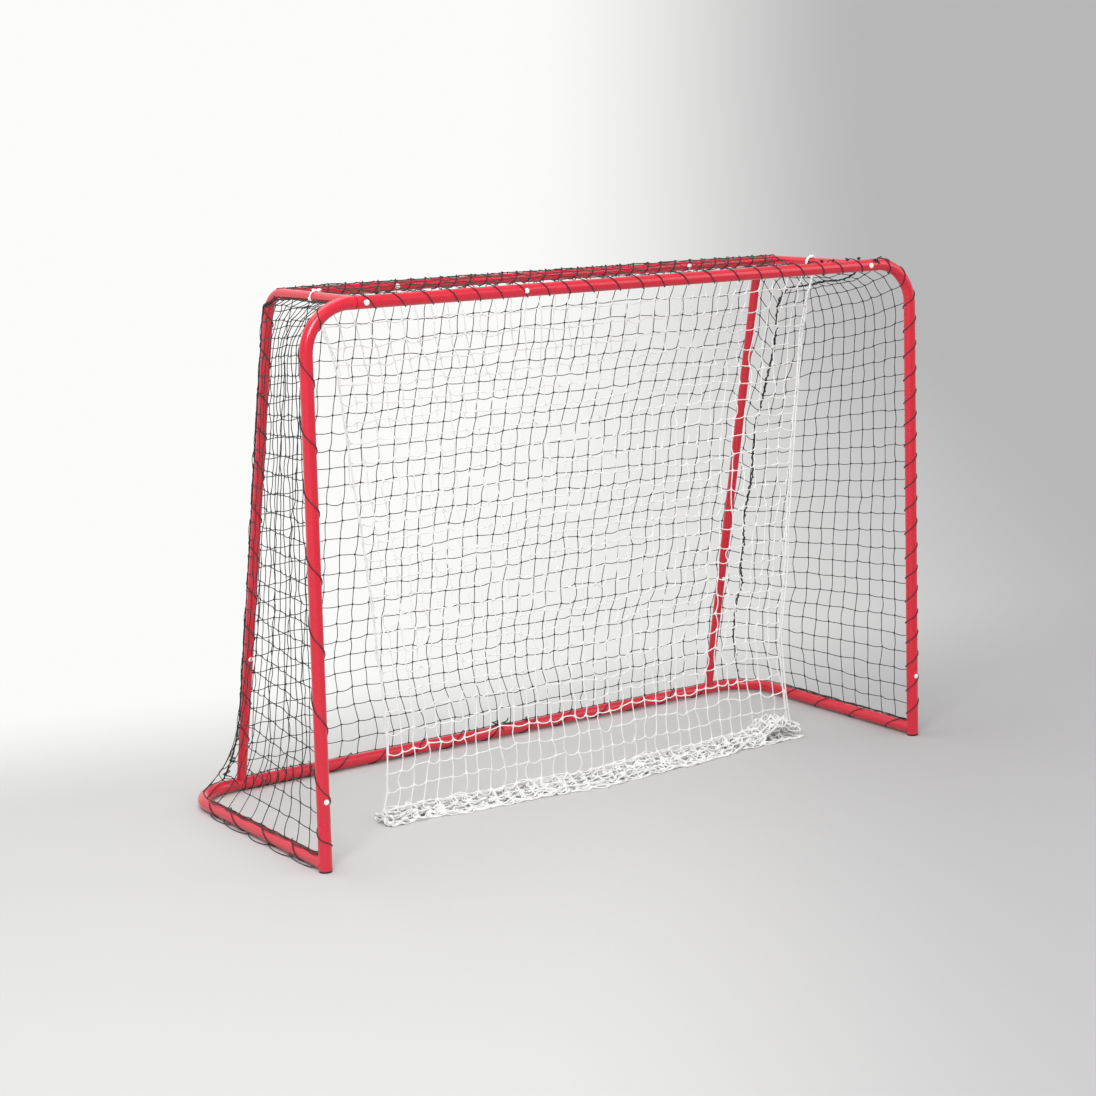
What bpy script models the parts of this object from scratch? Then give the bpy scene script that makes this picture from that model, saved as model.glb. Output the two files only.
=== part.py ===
"""Floorball goal: a bent steel tube frame, laced black nets and a white drop net.

Run with: blender --background --python part.py
The drawing's axes are x along the goal line, y back into the goal and z up, in
metres, from the floor under the middle of the goal line. An empty carries
everything to the middle of the goal's footprint.
"""

import math

import bmesh
import bpy
import numpy as np
from mathutils import Vector

# Goal, inside the posts and to the tube centres
INNER_WIDTH = 1.600
INNER_HEIGHT = 1.150
FLOOR_DEPTH = 0.650
TOP_DEPTH = 0.410
REAR_BAR_DEPTH = 0.345
SUPPORT_SPREAD = 1.360

# Tubes
FRAME_DIAMETER = 0.028
SUPPORT_DIAMETER = 0.022
WALL = 0.0015
TUBE_SIDES = 16
CORNER_RADIUS = 0.100
BASE_RADIUS = 0.110
SUPPORT_RADIUS = 0.070
BEND_STEPS = 7
CROSSBAR_LENGTH = 1.400
BASE_BAR_LENGTH = 1.240
SPIGOT_LENGTH = 0.080
SHOULDER = 0.0015

# Fits
GAP = 0.0003
HOLE_CLEARANCE = 0.0003
CUT_REACH = 0.050
CUT_SIDES = 12

# Fittings
FOOT_FLANGE = 0.004
FOOT_PLUG_DEPTH = 0.022
FOOT_SOCKET_DEPTH = 0.0088
FOOT_EDGE = 0.001
PEG_DEPTH = 0.060
BOLT_DIAMETER = 0.006
BOLT_HEAD_DIAMETER = 0.0096
BOLT_HEAD_HEIGHT = 0.003
BOLT_LENGTH = 0.046
BOLT_HEAD_EDGE = 0.001
INSERT_LENGTH = 0.020
CAP_DIAMETER = 0.0125
CAP_WALL = 0.001
CLIP_DIAMETER = 0.0116
CLIP_HEIGHT = 0.003
CLIP_STEM_DIAMETER = 0.005
CLIP_STEM_DEPTH = 0.006
CLIP_HOLE_DEPTH = 0.00375
POST_CLIP_HEIGHT = 0.150
CROSSBAR_CLIP_X = -0.292
REAR_BAR_CLIP_X = 0.405
SUPPORT_CLIP_HEIGHT = 0.325

# Nets and cords
STRAND = 0.003
BORDER_GAP = 0.003
LACE_DIAMETER = 0.003
LACE_SLACK = 0.0014
LOOP_POINTS = 8
POST_LACE_SHARE = 0.5
SEAM_DIAMETER = 0.004
SEAM_INSET = 0.006
NET_FRONT_X = 0.694
NET_CORNER_X = 0.720
NET_SIDE_STEP = 0.012
BORDER_TILT = 22.5
SIDE_CORNER_IN = 0.045
SIDE_CORNER_DOWN = 0.030
SEAM_RISE = 0.0085
SEAM_TURN_IN = 0.020
SEAM_TURN_DOWN = 0.044
SEAM_LEG_TOP = 0.090
SEAM_LEG_FOOT = 0.040
TOP_GAPS = (12, 4)
REAR_GAPS = (12, 9)
SIDE_GAPS = (5, 8)

# Drop net
DROP_DEPTH = 0.200
DROP_TOP_HALF = 0.690
DROP_WAIST_HALF = 0.565
DROP_FLOOR_HALF = 0.600
DROP_WAVE = 0.010
DROP_WAVES = 5
DROP_HEAP = 0.075
DROP_HEAP_HEIGHT = 0.022
DROP_FLARE_SHARE = 0.08
DROP_RIPPLE = 0.25
DROP_GAPS = (10, 7)
DROP_CORD_DIAMETER = 0.004
DROP_CORD_GAP = 0.0005
DROP_CORD_STEP = 0.0008

FRAME_R = FRAME_DIAMETER / 2
SUPPORT_R = SUPPORT_DIAMETER / 2
POST_X = INNER_WIDTH / 2 + FRAME_R
BAR_Z = INNER_HEIGHT + FRAME_R
SUPPORT_X = SUPPORT_SPREAD / 2
# The base bars lie on the lacing that passes under them, flattened by a tenth.
BASE_Z = 0.9 * LACE_DIAMETER + GAP + FRAME_R
FACET = math.cos(math.pi / TUBE_SIDES)
POST_STRAIGHT = BAR_Z - CORNER_RADIUS - FOOT_FLANGE
BASE_STRAIGHT = FLOOR_DEPTH - BASE_RADIUS
BORDER_R = FRAME_R + BORDER_GAP + STRAND / 2
TOP_BORDER_R = SUPPORT_R + BORDER_GAP + STRAND / 2

RED = (0.74, 0.028, 0.055)
BLACK = (0.012, 0.012, 0.013)
WHITE = (0.82, 0.82, 0.80)
ZINC = (0.55, 0.56, 0.58)


def clear_scene():
    for obj in list(bpy.data.objects):
        bpy.data.objects.remove(obj, do_unlink=True)


def material(name, colour, roughness, metallic=0.0):
    made = bpy.data.materials.new(name)
    made.use_nodes = True
    shader = made.node_tree.nodes["Principled BSDF"]
    shader.inputs["Base Color"].default_value = (*colour, 1)
    shader.inputs["Roughness"].default_value = roughness
    shader.inputs["Metallic"].default_value = metallic
    return made


class Shop:
    """Where finished pieces and their cutters are put."""

    def __init__(self):
        self.parts = bpy.data.collections.new("floorball_goal")
        self.cutters = bpy.data.collections.new("cutters")
        for collection in (self.parts, self.cutters):
            bpy.context.scene.collection.children.link(collection)
        self.cutters.hide_render = True
        self.frame = bpy.data.objects.new("goal_frame", None)
        self.parts.objects.link(self.frame)

    def add(self, obj, finish, parent=None):
        colour, roughness, metallic = finish
        obj.data.materials.append(material(obj.name, colour, roughness, metallic))
        obj.parent = parent or self.frame
        self.parts.objects.link(obj)
        if obj.type == "MESH":
            obj.data.shade_smooth()
            obj.data.set_sharp_from_angle(angle=math.radians(35))
        return obj

    def cut(self, obj, start, end, radius, sides=32):
        """Cuts a round hole or saddle from start to end."""
        start, end = Vector(start), Vector(end)
        mesh = bpy.data.meshes.new("cutter")
        bm = bmesh.new()
        bmesh.ops.create_cone(bm, cap_ends=True, segments=sides, radius1=radius,
                              radius2=radius, depth=(end - start).length)
        bm.to_mesh(mesh)
        bm.free()
        cutter = bpy.data.objects.new(f"cut_{obj.name}_{len(obj.modifiers)}", mesh)
        cutter.location = (start + end) / 2
        cutter.rotation_mode = "QUATERNION"
        cutter.rotation_quaternion = (end - start).to_track_quat("Z", "Y")
        self.take(obj, cutter)

    def cut_box(self, obj, low, high):
        low, high = Vector(low), Vector(high)
        mesh = bpy.data.meshes.new("cutter")
        bm = bmesh.new()
        bmesh.ops.create_cube(bm, size=1)
        for vert in bm.verts:
            vert.co = Vector(a * b for a, b in zip(vert.co, high - low))
        bm.to_mesh(mesh)
        bm.free()
        cutter = bpy.data.objects.new(f"cut_{obj.name}_{len(obj.modifiers)}", mesh)
        cutter.location = (low + high) / 2
        self.take(obj, cutter)

    def take(self, obj, cutter):
        cutter.parent = self.frame
        cutter.hide_render = True
        cutter.display_type = "WIRE"
        self.cutters.objects.link(cutter)
        boolean = obj.modifiers.new(cutter.name, "BOOLEAN")
        boolean.operation = "DIFFERENCE"
        boolean.solver = "EXACT"
        boolean.object = cutter


class Route:
    """A tube's centreline: straight runs in one plane, joined by bends.

    outward is the tangent crossed with side, so an angle of 0 points out of the
    bends and 90 degrees points along side.
    """

    def __init__(self, corners, radius, side):
        self.side = Vector(side)
        corners = [Vector(c) for c in corners]
        points = [corners[0]]
        for before, corner, after in zip(corners, corners[1:], corners[2:]):
            enter = (corner - before).normalized()
            leave = (after - corner).normalized()
            turn = enter.angle(leave)
            reach = radius * math.tan(turn / 2)
            first = corner - enter * reach
            inward = (leave - enter * enter.dot(leave)).normalized()
            for i in range(BEND_STEPS + 1):
                a = turn * i / BEND_STEPS
                step = enter * math.sin(a) + inward * (1 - math.cos(a))
                points.append(first + radius * step)
        points.append(corners[-1])
        self.points = points
        lengths = [(b - a).length for a, b in zip(points, points[1:])]
        self.stations = [0.0, *np.cumsum(lengths)]
        self.length = self.stations[-1]

    def at(self, s):
        """The point and the tangent at length s, both even across the bends."""
        i = int(np.searchsorted(self.stations, s)) - 1
        i = max(0, min(i, len(self.points) - 2))
        share = (s - self.stations[i]) / (self.stations[i + 1] - self.stations[i])
        point = self.points[i].lerp(self.points[i + 1], share)
        chords = [self.points[j + 1] - self.points[j]
                  for j in (max(i - 1, 0), i, min(i + 1, len(self.points) - 2))]
        before, here, after = [chord.normalized() for chord in chords]
        near = (before + here).normalized().lerp((here + after).normalized(), share)
        return point, near.normalized()

    def off(self, s, angle, distance):
        """A point at this distance from the centreline, at an angle in degrees."""
        point, tangent = self.at(s)
        outward = tangent.cross(self.side).normalized()
        a = math.radians(angle)
        return point + distance * (math.cos(a) * outward + math.sin(a) * self.side)

    def part(self, start, end):
        """The centreline's points from one length to another."""
        inner = [p for p, s in zip(self.points, self.stations)
                 if start + 1e-6 < s < end - 1e-6]
        return [self.at(start)[0], *inner, self.at(end)[0]]


def curve_object(name, points, radius, sides, scales=None, caps=True):
    curve = bpy.data.curves.new(name, "CURVE")
    curve.dimensions = "3D"
    curve.bevel_depth = radius
    curve.bevel_resolution = (sides - 4) // 2
    curve.use_fill_caps = caps
    spline = curve.splines.new("POLY")
    spline.points.add(len(points) - 1)
    for i, point in enumerate(points):
        spline.points[i].co = (*point, 1)
        spline.points[i].radius = scales[i] if scales else 1
    return bpy.data.objects.new(name, curve)


def as_mesh(obj, weld):
    """The curve's mesh in an object of the same name."""
    name = obj.name
    bpy.context.scene.collection.objects.link(obj)
    graph = bpy.context.evaluated_depsgraph_get()
    mesh = bpy.data.meshes.new_from_object(obj.evaluated_get(graph))
    bpy.data.objects.remove(obj, do_unlink=True)
    bm = bmesh.new()
    bm.from_mesh(mesh)
    if weld:
        bmesh.ops.remove_doubles(bm, verts=bm.verts, dist=1e-6)
    bmesh.ops.recalc_face_normals(bm, faces=bm.faces)
    bm.to_mesh(mesh)
    bm.free()
    mesh.name = name
    return bpy.data.objects.new(name, mesh)


def tube(name, points, diameter, scales=None, sides=TUBE_SIDES):
    """An open steel tube: its outer skin, with the wall set inwards."""
    obj = as_mesh(curve_object(name, points, diameter / 2, sides, scales, False), False)
    wall = obj.modifiers.new("wall", "SOLIDIFY")
    wall.thickness = WALL
    wall.offset = -1
    wall.use_even_offset = True
    return obj


def spigot_end(points, diameter):
    """Adds a swaged end of SPIGOT_LENGTH that fits the bore of an equal tube."""
    last, before = points[-1], points[-2]
    along = (last - before).normalized()
    fit = ((diameter / 2 - WALL) * FACET - GAP) / (diameter / 2)
    more = [last + along * SHOULDER, last + along * SPIGOT_LENGTH]
    return [*points, *more], [*[1.0] * len(points), fit, fit]


def turned(name, profile, place, towards, steps=12, closed=False):
    """A turned piece: profile runs down its outer side as (radius, height)."""
    mesh = bpy.data.meshes.new(name)
    bm = bmesh.new()
    verts = [bm.verts.new((r, 0, z)) for r, z in profile]
    pairs = list(zip(verts, verts[1:]))
    if closed:
        pairs.append((verts[-1], verts[0]))
    for pair in pairs:
        bm.edges.new(pair)
    bm.to_mesh(mesh)
    bm.free()
    obj = bpy.data.objects.new(name, mesh)
    screw = obj.modifiers.new("turn", "SCREW")
    screw.steps = screw.render_steps = steps
    screw.use_merge_vertices = True
    screw.merge_threshold = 1e-5
    screw.use_smooth_shade = True
    obj.location = place
    obj.rotation_mode = "QUATERNION"
    obj.rotation_quaternion = Vector(towards).to_track_quat("Z", "Y")
    return obj


def least_gap(points, diameter, apart):
    """The least gap of a wound cord to its own turns, measured along its line."""
    line = np.array([list(p) for p in points])
    fine = np.concatenate([np.linspace(a, b, 4, endpoint=False)
                           for a, b in zip(line, line[1:])])
    far = 4 * apart
    gaps = [np.linalg.norm(fine[i + far:] - fine[i], axis=1).min()
            for i in range(len(fine) - far)]
    return min(gaps) - diameter


def lace_over(border_r):
    """How far out a lace's corner is where it passes over a net border."""
    return border_r + (STRAND / 2 + GAP + LACE_DIAMETER / 2 + LACE_SLACK)


def winding(name, route, first, pitch, turns, borders, border_r, tube_r, start):
    """One unbroken lace round a tube and the net borders that lie along it.

    borders are the borders' angles. The loop's corners are at start and every 45
    degrees on, and those beside a border stand out far enough to pass over it.
    """
    clear = GAP + LACE_DIAMETER / 2
    half_corner = math.radians(180 / LOOP_POINTS)
    points = []
    for k in range(turns * LOOP_POINTS + 1):
        angle = start + 360 / LOOP_POINTS * k
        off = min(abs((angle - b + 180) % 360 - 180) for b in borders)
        radius = (tube_r + clear) / math.cos(half_corner)
        if off < 1:
            radius = lace_over(border_r)
        elif off < 30:
            radius = (border_r + STRAND / 2 + clear) / math.cos(math.radians(off))
        elif off < 50:
            radius += LACE_SLACK
        points.append(route.off(first + pitch * k / LOOP_POINTS, angle, radius))
    gap = least_gap(points, LACE_DIAMETER, LOOP_POINTS // 2)
    print(f"{name}: {turns} turns, least gap to itself {1000 * gap:.1f} mm")
    return as_mesh(curve_object(name, points, LACE_DIAMETER / 2, 4), True)


def net(name, gaps, place, strand=STRAND):
    """A knotted net: place(u, v) puts each knot, and each strand is one bar."""
    mesh = bpy.data.meshes.new(name)
    bm = bmesh.new()
    bmesh.ops.create_grid(bm, x_segments=gaps[0], y_segments=gaps[1], size=0.5)
    for vert in bm.verts:
        vert.co = place(vert.co.x + 0.5, vert.co.y + 0.5)
    bm.to_mesh(mesh)
    bm.free()
    obj = bpy.data.objects.new(name, mesh)
    wire = obj.modifiers.new("strands", "WIREFRAME")
    wire.thickness = strand
    wire.use_even_offset = True
    wire.use_boundary = True
    return obj


def mix(a, b, share):
    return a + (b - a) * share


STEEL = (RED, 0.28, 0.0)
CORD = (BLACK, 0.85, 0.0)
PLASTIC = (WHITE, 0.45, 0.0)
BLACK_PLASTIC = (BLACK, 0.5, 0.0)
DROP = (WHITE, 0.9, 0.0)
BOLT = (ZINC, 0.35, 1.0)

FRONT = Route([(-POST_X, 0, FOOT_FLANGE), (-POST_X, 0, BAR_Z),
               (POST_X, 0, BAR_Z), (POST_X, 0, FOOT_FLANGE)],
              CORNER_RADIUS, (0, 1, 0))
BASE = Route([(POST_X, 0, BASE_Z), (POST_X, FLOOR_DEPTH, BASE_Z),
              (-POST_X, FLOOR_DEPTH, BASE_Z), (-POST_X, 0, BASE_Z)],
             BASE_RADIUS, (0, 0, 1))


def support_route(x):
    return Route([(x, 0, BAR_Z), (x, TOP_DEPTH, BAR_Z), (x, FLOOR_DEPTH, BASE_Z)],
                 SUPPORT_RADIUS, (-1, 0, 0))


def leg_depth(z, offset=0.0):
    """How far back the legs' line is at height z, moved outwards by offset."""
    slope = (FLOOR_DEPTH - TOP_DEPTH) / (BAR_Z - BASE_Z)
    return TOP_DEPTH + slope * (BAR_Z - z) + offset * math.hypot(1, slope)


def front_frame(shop):
    half = FRONT.length / 2
    arm = half - CROSSBAR_LENGTH / 2 - SHOULDER - GAP
    for side, name in ((-1, "left"), (1, "right")):
        points = FRONT.part(0, arm)
        if side > 0:
            points = [Vector((-p.x, p.y, p.z)) for p in points]
        points, scales = spigot_end(points, FRAME_DIAMETER)
        post = shop.add(tube(f"post_{name}", points, FRAME_DIAMETER, scales), STEEL)
        bolt_hole(shop, post, side)
        clip_hole(shop, post, (side * POST_X, 0, POST_CLIP_HEIGHT), (0, -1, 0), FRAME_R)
        foot(shop, name, side)
    bar = [(-CROSSBAR_LENGTH / 2, 0, BAR_Z), (CROSSBAR_LENGTH / 2, 0, BAR_Z)]
    crossbar = shop.add(tube("crossbar", [Vector(p) for p in bar], FRAME_DIAMETER),
                        STEEL)
    for side in (-1, 1):
        bolt_hole(shop, crossbar, side)
    clip_hole(shop, crossbar, (CROSSBAR_CLIP_X, 0, BAR_Z), (0, -1, 0), FRAME_R)


def foot(shop, name, side):
    """A plastic plug that closes the foot of a post and stands on the floor."""
    stem = (FRAME_R - WALL) * FACET - GAP
    base = FOOT_FLANGE - GAP
    socket, top = base + FOOT_SOCKET_DEPTH, base + FOOT_PLUG_DEPTH
    profile = [(0, socket), (stem - 3 * FOOT_EDGE, socket), (stem - 2 * FOOT_EDGE, top),
               (stem, top - FOOT_EDGE), (stem, base), (FRAME_R, base), (FRAME_R, FOOT_EDGE),
               (FRAME_R - FOOT_EDGE, 0), (0, 0)]
    shop.add(turned(f"post_foot_{name}", profile, (side * POST_X, 0, 0), (0, 0, 1), 16),
             BLACK_PLASTIC)


def bolt_hole(shop, obj, side):
    x = side * SUPPORT_X
    shop.cut(obj, (x, -CUT_REACH, BAR_Z), (x, CUT_REACH, BAR_Z),
             BOLT_DIAMETER / 2 + HOLE_CLEARANCE, CUT_SIDES)


def clip_hole(shop, obj, centre, towards, tube_r):
    centre, towards = Vector(centre), Vector(towards)
    shop.cut(obj, centre + towards * (tube_r - CLIP_HOLE_DEPTH), centre + towards * 1.3 * tube_r,
             CLIP_STEM_DIAMETER / 2 + HOLE_CLEARANCE, CUT_SIDES)


def base_frame(shop):
    straight = BASE.length / 2 - BASE_BAR_LENGTH / 2 - SHOULDER - GAP
    for side, name in ((1, "right"), (-1, "left")):
        points = [Vector((side * p.x, p.y, p.z)) for p in BASE.part(0, straight)]
        points, scales = spigot_end(points, FRAME_DIAMETER)
        bar = shop.add(tube(f"base_side_{name}", points, FRAME_DIAMETER, scales), STEEL)
        x = side * POST_X
        shop.cut(bar, (x, 0, BASE_Z - CUT_REACH), (x, 0, BASE_Z + CUT_REACH), FRAME_R + GAP)
    ends = [(x, FLOOR_DEPTH, BASE_Z) for x in (-BASE_BAR_LENGTH / 2, BASE_BAR_LENGTH / 2)]
    shop.add(tube("base_rear_bar", [Vector(p) for p in ends], FRAME_DIAMETER), STEEL)


def supports(shop):
    for side, name in ((-1, "left"), (1, "right")):
        x = side * SUPPORT_X
        route = support_route(x)
        post = shop.add(tube(f"support_{name}", route.points, SUPPORT_DIAMETER), STEEL)
        shop.cut(post, (x - CUT_REACH, 0, BAR_Z), (x + CUT_REACH, 0, BAR_Z), FRAME_R + GAP)
        shop.cut(post, (x - CUT_REACH, FLOOR_DEPTH, BASE_Z),
                 (x + CUT_REACH, FLOOR_DEPTH, BASE_Z), FRAME_R + GAP)
        clip_at = (x, leg_depth(SUPPORT_CLIP_HEIGHT), SUPPORT_CLIP_HEIGHT)
        clip_hole(shop, post, clip_at, leg_front(), SUPPORT_R)
        peg(shop, name, x)
    bar = [Vector((x, REAR_BAR_DEPTH, BAR_Z)) for x in (-SUPPORT_X, SUPPORT_X)]
    rear = shop.add(tube("rear_top_bar", bar, SUPPORT_DIAMETER), STEEL)
    for x in (-SUPPORT_X, SUPPORT_X):
        shop.cut(rear, (x, REAR_BAR_DEPTH - CUT_REACH, BAR_Z),
                 (x, REAR_BAR_DEPTH + CUT_REACH, BAR_Z), SUPPORT_R + GAP)
    for side in (-1, 1):
        clip_hole(shop, rear, (side * REAR_BAR_CLIP_X, REAR_BAR_DEPTH, BAR_Z),
                  (0, -1, 0), SUPPORT_R)


def leg_front():
    """The direction that a leg's front face looks in."""
    back = Vector((0, FLOOR_DEPTH - TOP_DEPTH, BASE_Z - BAR_Z)).normalized()
    return back.cross(Vector((-1, 0, 0)))


def peg(shop, name, x):
    """A round peg on the rear base bar that a leg of the support slides over."""
    foot_at = Vector((x, FLOOR_DEPTH, BASE_Z))
    up = Vector((x, TOP_DEPTH, BAR_Z)) - foot_at
    radius = (SUPPORT_R - WALL) * FACET - GAP
    length = FRAME_R + PEG_DEPTH
    profile = [(0, length), (radius - 0.002, length), (radius, length - 0.002),
               (radius, 0), (0, 0)]
    obj = shop.add(turned(f"support_peg_{name}", profile, foot_at, up, 14), STEEL)
    shop.cut(obj, (x - CUT_REACH, FLOOR_DEPTH, BASE_Z), (x + CUT_REACH, FLOOR_DEPTH, BASE_Z),
             FRAME_R + GAP)


def fittings(shop):
    shank, head = BOLT_DIAMETER / 2, BOLT_HEAD_DIAMETER / 2
    seat = -(FRAME_R + GAP)
    for side, name in ((-1, "left"), (1, "right")):
        x = side * SUPPORT_X
        bolt = [(0, BOLT_HEAD_HEIGHT), (0.6 * head, BOLT_HEAD_HEIGHT * 0.85),
                (head, BOLT_HEAD_EDGE),
                (head, 0), (shank, 0), (shank, -BOLT_LENGTH), (0, -BOLT_LENGTH)]
        shop.add(turned(f"crossbar_bolt_{name}", bolt, (x, seat, BAR_Z), (0, -1, 0)), BOLT)
        inner = head + GAP
        rim = CAP_DIAMETER / 2
        roof = BOLT_HEAD_HEIGHT + GAP
        cap = [(0, roof + CAP_WALL), (0.6 * rim, roof + 0.7 * CAP_WALL), (rim, BOLT_HEAD_EDGE),
               (rim, 0),
               (inner, 0), (inner, roof * 0.7), (0.7 * inner, roof), (0, roof)]
        shop.add(turned(f"bolt_cap_{name}", cap, (x, seat - GAP, BAR_Z), (0, -1, 0)), PLASTIC)
        outer = (SUPPORT_R - WALL) * FACET - GAP
        bore = shank + HOLE_CLEARANCE
        insert = [(outer, 0), (outer, -INSERT_LENGTH), (bore, -INSERT_LENGTH), (bore, 0)]
        front = FRAME_R + 4 * GAP
        shop.add(turned(f"support_insert_{name}", insert, (x, front, BAR_Z), (0, -1, 0),
                        14, closed=True), BOLT)
        clip(shop, f"net_clip_post_{name}", (side * POST_X, 0, POST_CLIP_HEIGHT), (0, -1, 0),
             FRAME_R)
        clip(shop, f"net_clip_rear_bar_{name}", (side * REAR_BAR_CLIP_X, REAR_BAR_DEPTH, BAR_Z),
             (0, -1, 0), SUPPORT_R)
        clip(shop, f"net_clip_support_{name}",
             (x, leg_depth(SUPPORT_CLIP_HEIGHT), SUPPORT_CLIP_HEIGHT), leg_front(), SUPPORT_R)
    clip(shop, "net_clip_crossbar", (CROSSBAR_CLIP_X, 0, BAR_Z), (0, -1, 0), FRAME_R)


def clip(shop, name, centre, towards, tube_r):
    """A push-in plastic button that holds the net cord beside it."""
    head, stem = CLIP_DIAMETER / 2, CLIP_STEM_DIAMETER / 2
    seat = Vector(centre) + Vector(towards) * (tube_r + GAP)
    profile = [(0, CLIP_HEIGHT), (0.65 * head, 0.75 * CLIP_HEIGHT), (head, 0.25 * CLIP_HEIGHT),
               (head, 0), (stem, 0), (stem, -CLIP_STEM_DEPTH), (0, -CLIP_STEM_DEPTH)]
    shop.add(turned(name, profile, seat, towards, 10), PLASTIC)


def top_net_place(u, v):
    """u runs across from left to right, v from the crossbar to the rear bar."""
    up, back = math.cos(math.radians(BORDER_TILT)), math.sin(math.radians(BORDER_TILT))
    front, rear = BAR_Z + BORDER_R * up, BAR_Z + TOP_BORDER_R * up
    start, end = BORDER_R * back, REAR_BAR_DEPTH - TOP_BORDER_R * back
    half = mix(NET_FRONT_X, NET_CORNER_X, v)
    return Vector(((2 * u - 1) * half, mix(start, end, v), mix(front, rear, v)))


def rear_net_place(u, v):
    """u runs across, v from the base bar up to the rear top bar."""
    x = (2 * u - 1) * NET_CORNER_X
    low = BASE.off(BASE.length / 2, BORDER_TILT, BORDER_R)
    tilt = math.radians(BORDER_TILT)
    top = BAR_Z + TOP_BORDER_R * math.cos(tilt)
    if v > 1 - 0.5 / REAR_GAPS[1]:
        return Vector((x, REAR_BAR_DEPTH + TOP_BORDER_R * math.sin(tilt), top))
    z = mix(low.z, top, v)
    return Vector((x, mix(low.y, leg_depth(z, TOP_BORDER_R), min(1, 4 * v)), z))


def side_net_run():
    """Where the side net's front edge starts and ends along the front frame."""
    return BASE_Z + BORDER_R - FOOT_FLANGE, FRONT.length / 2 - CROSSBAR_LENGTH / 2


def side_net_place(side):
    """A net stretched between the post, the base bar and the two seams."""
    post_start, post_end = side_net_run()
    base_end = BASE.length / 2 - NET_CORNER_X - STRAND
    corner = Vector((NET_CORNER_X + STRAND, TOP_DEPTH - SIDE_CORNER_IN,
                     BAR_Z - SIDE_CORNER_DOWN))

    def front(v):
        p = FRONT.off(mix(post_start, post_end, v), 90, BORDER_R)
        return Vector((-p.x, p.y, p.z))

    def bottom(u):
        return BASE.off(mix(BORDER_R, base_end, u), 90, BORDER_R)

    def top(u):
        return front(1).lerp(corner, u)

    def rear(v):
        low = bottom(1)
        z = mix(low.z, corner.z, v)
        run = leg_depth(z, TOP_BORDER_R) - NET_SIDE_STEP
        y = mix(low.y, run, min(1, SIDE_GAPS[1] * v))
        y = mix(corner.y, y, min(1, SIDE_GAPS[1] * (1 - v)))
        return Vector((NET_CORNER_X + STRAND, y, z))

    def place(u, v):
        ruled_up = bottom(u).lerp(top(u), v)
        ruled_across = front(v).lerp(rear(v), u)
        corners = bottom(0).lerp(bottom(1), u).lerp(top(0).lerp(top(1), u), v)
        p = ruled_up + ruled_across - corners
        return Vector((side * p.x, p.y, p.z))

    return place


def seam(side):
    """The cord that sews the side net to the top net and then to the rear net."""
    x = NET_CORNER_X + SEAM_INSET
    height = BAR_Z + SEAM_RISE
    points = [(NET_FRONT_X + SEAM_INSET, BORDER_R + SEAM_DIAMETER, height),
              (x, REAR_BAR_DEPTH, height),
              (x, TOP_DEPTH - SEAM_TURN_IN, BAR_Z - SEAM_TURN_DOWN)]
    for z in np.linspace(BAR_Z - SEAM_LEG_TOP, BASE_Z + SEAM_LEG_FOOT, 5):
        points.append((x, leg_depth(z, TOP_BORDER_R) - SEAM_INSET, z))
    return [Vector((side * p[0], p[1], p[2])) for p in points]


def nets(shop):
    shop.add(net("net_top", TOP_GAPS, top_net_place), CORD)
    shop.add(net("net_rear", REAR_GAPS, rear_net_place), CORD)
    for side, name in ((-1, "left"), (1, "right")):
        shop.add(net(f"net_{name}", SIDE_GAPS, side_net_place(side)), CORD)
        shop.add(curve_object(f"net_seam_{name}", seam(side), SEAM_DIAMETER / 2, 6), CORD)


def lacing(shop):
    """Laces pass through the net a fixed share of a gap away from its strands."""
    pitch = 2 * NET_FRONT_X / TOP_GAPS[0]
    first = FRONT.length / 2 - NET_FRONT_X + pitch / 2
    shop.add(winding("crossbar_lacing", FRONT, first, pitch, TOP_GAPS[0] - 1,
                     [BORDER_TILT], BORDER_R, FRAME_R, BORDER_TILT), CORD)

    start, end = side_net_run()
    pitch = (end - start) / SIDE_GAPS[1]
    turns = int((POST_STRAIGHT - start) / pitch)
    for side, name in ((-1, "left"), (1, "right")):
        lace = winding(f"post_lacing_{name}", FRONT, start + POST_LACE_SHARE * pitch, pitch,
                       turns, [90], BORDER_R, FRAME_R, 90)
        shop.add(on_side(lace, -side), CORD)

    pitch = (BASE.length / 2 - NET_CORNER_X - STRAND - BORDER_R) / SIDE_GAPS[0]
    turns = int((BASE_STRAIGHT - BORDER_R) / pitch)
    for side, name in ((-1, "left"), (1, "right")):
        lace = winding(f"base_lacing_{name}", BASE, BORDER_R + POST_LACE_SHARE * pitch, pitch,
                       turns, [90], BORDER_R, FRAME_R, 90 - BORDER_TILT)
        flat_on_floor(shop, shop.add(on_side(lace, side), CORD))

    pitch = 2 * NET_CORNER_X / REAR_GAPS[0]
    turns = REAR_GAPS[0] - 3
    first = BASE.length / 2 - turns * pitch / 2
    lace = winding("base_lacing_rear", BASE, first, pitch, turns, [BORDER_TILT],
                   BORDER_R, FRAME_R, BORDER_TILT)
    flat_on_floor(shop, shop.add(lace, CORD))

    bar = Route([(SUPPORT_X, REAR_BAR_DEPTH, BAR_Z), (-SUPPORT_X, REAR_BAR_DEPTH, BAR_Z)],
                0, (0, 0, 1))
    first = bar.length / 2 - turns * pitch / 2
    shop.add(winding("rear_bar_lacing", bar, first, pitch, turns,
                     [90 - BORDER_TILT, 90 + BORDER_TILT], TOP_BORDER_R, SUPPORT_R,
                     90 - BORDER_TILT), CORD)


def on_side(obj, sign):
    """Mirrors a mesh to the other side of the goal where sign is negative."""
    if sign < 0:
        bm = bmesh.new()
        bm.from_mesh(obj.data)
        bmesh.ops.scale(bm, vec=(-1, 1, 1), verts=bm.verts)
        bmesh.ops.reverse_faces(bm, faces=bm.faces)
        bm.to_mesh(obj.data)
        bm.free()
    return obj


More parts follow.
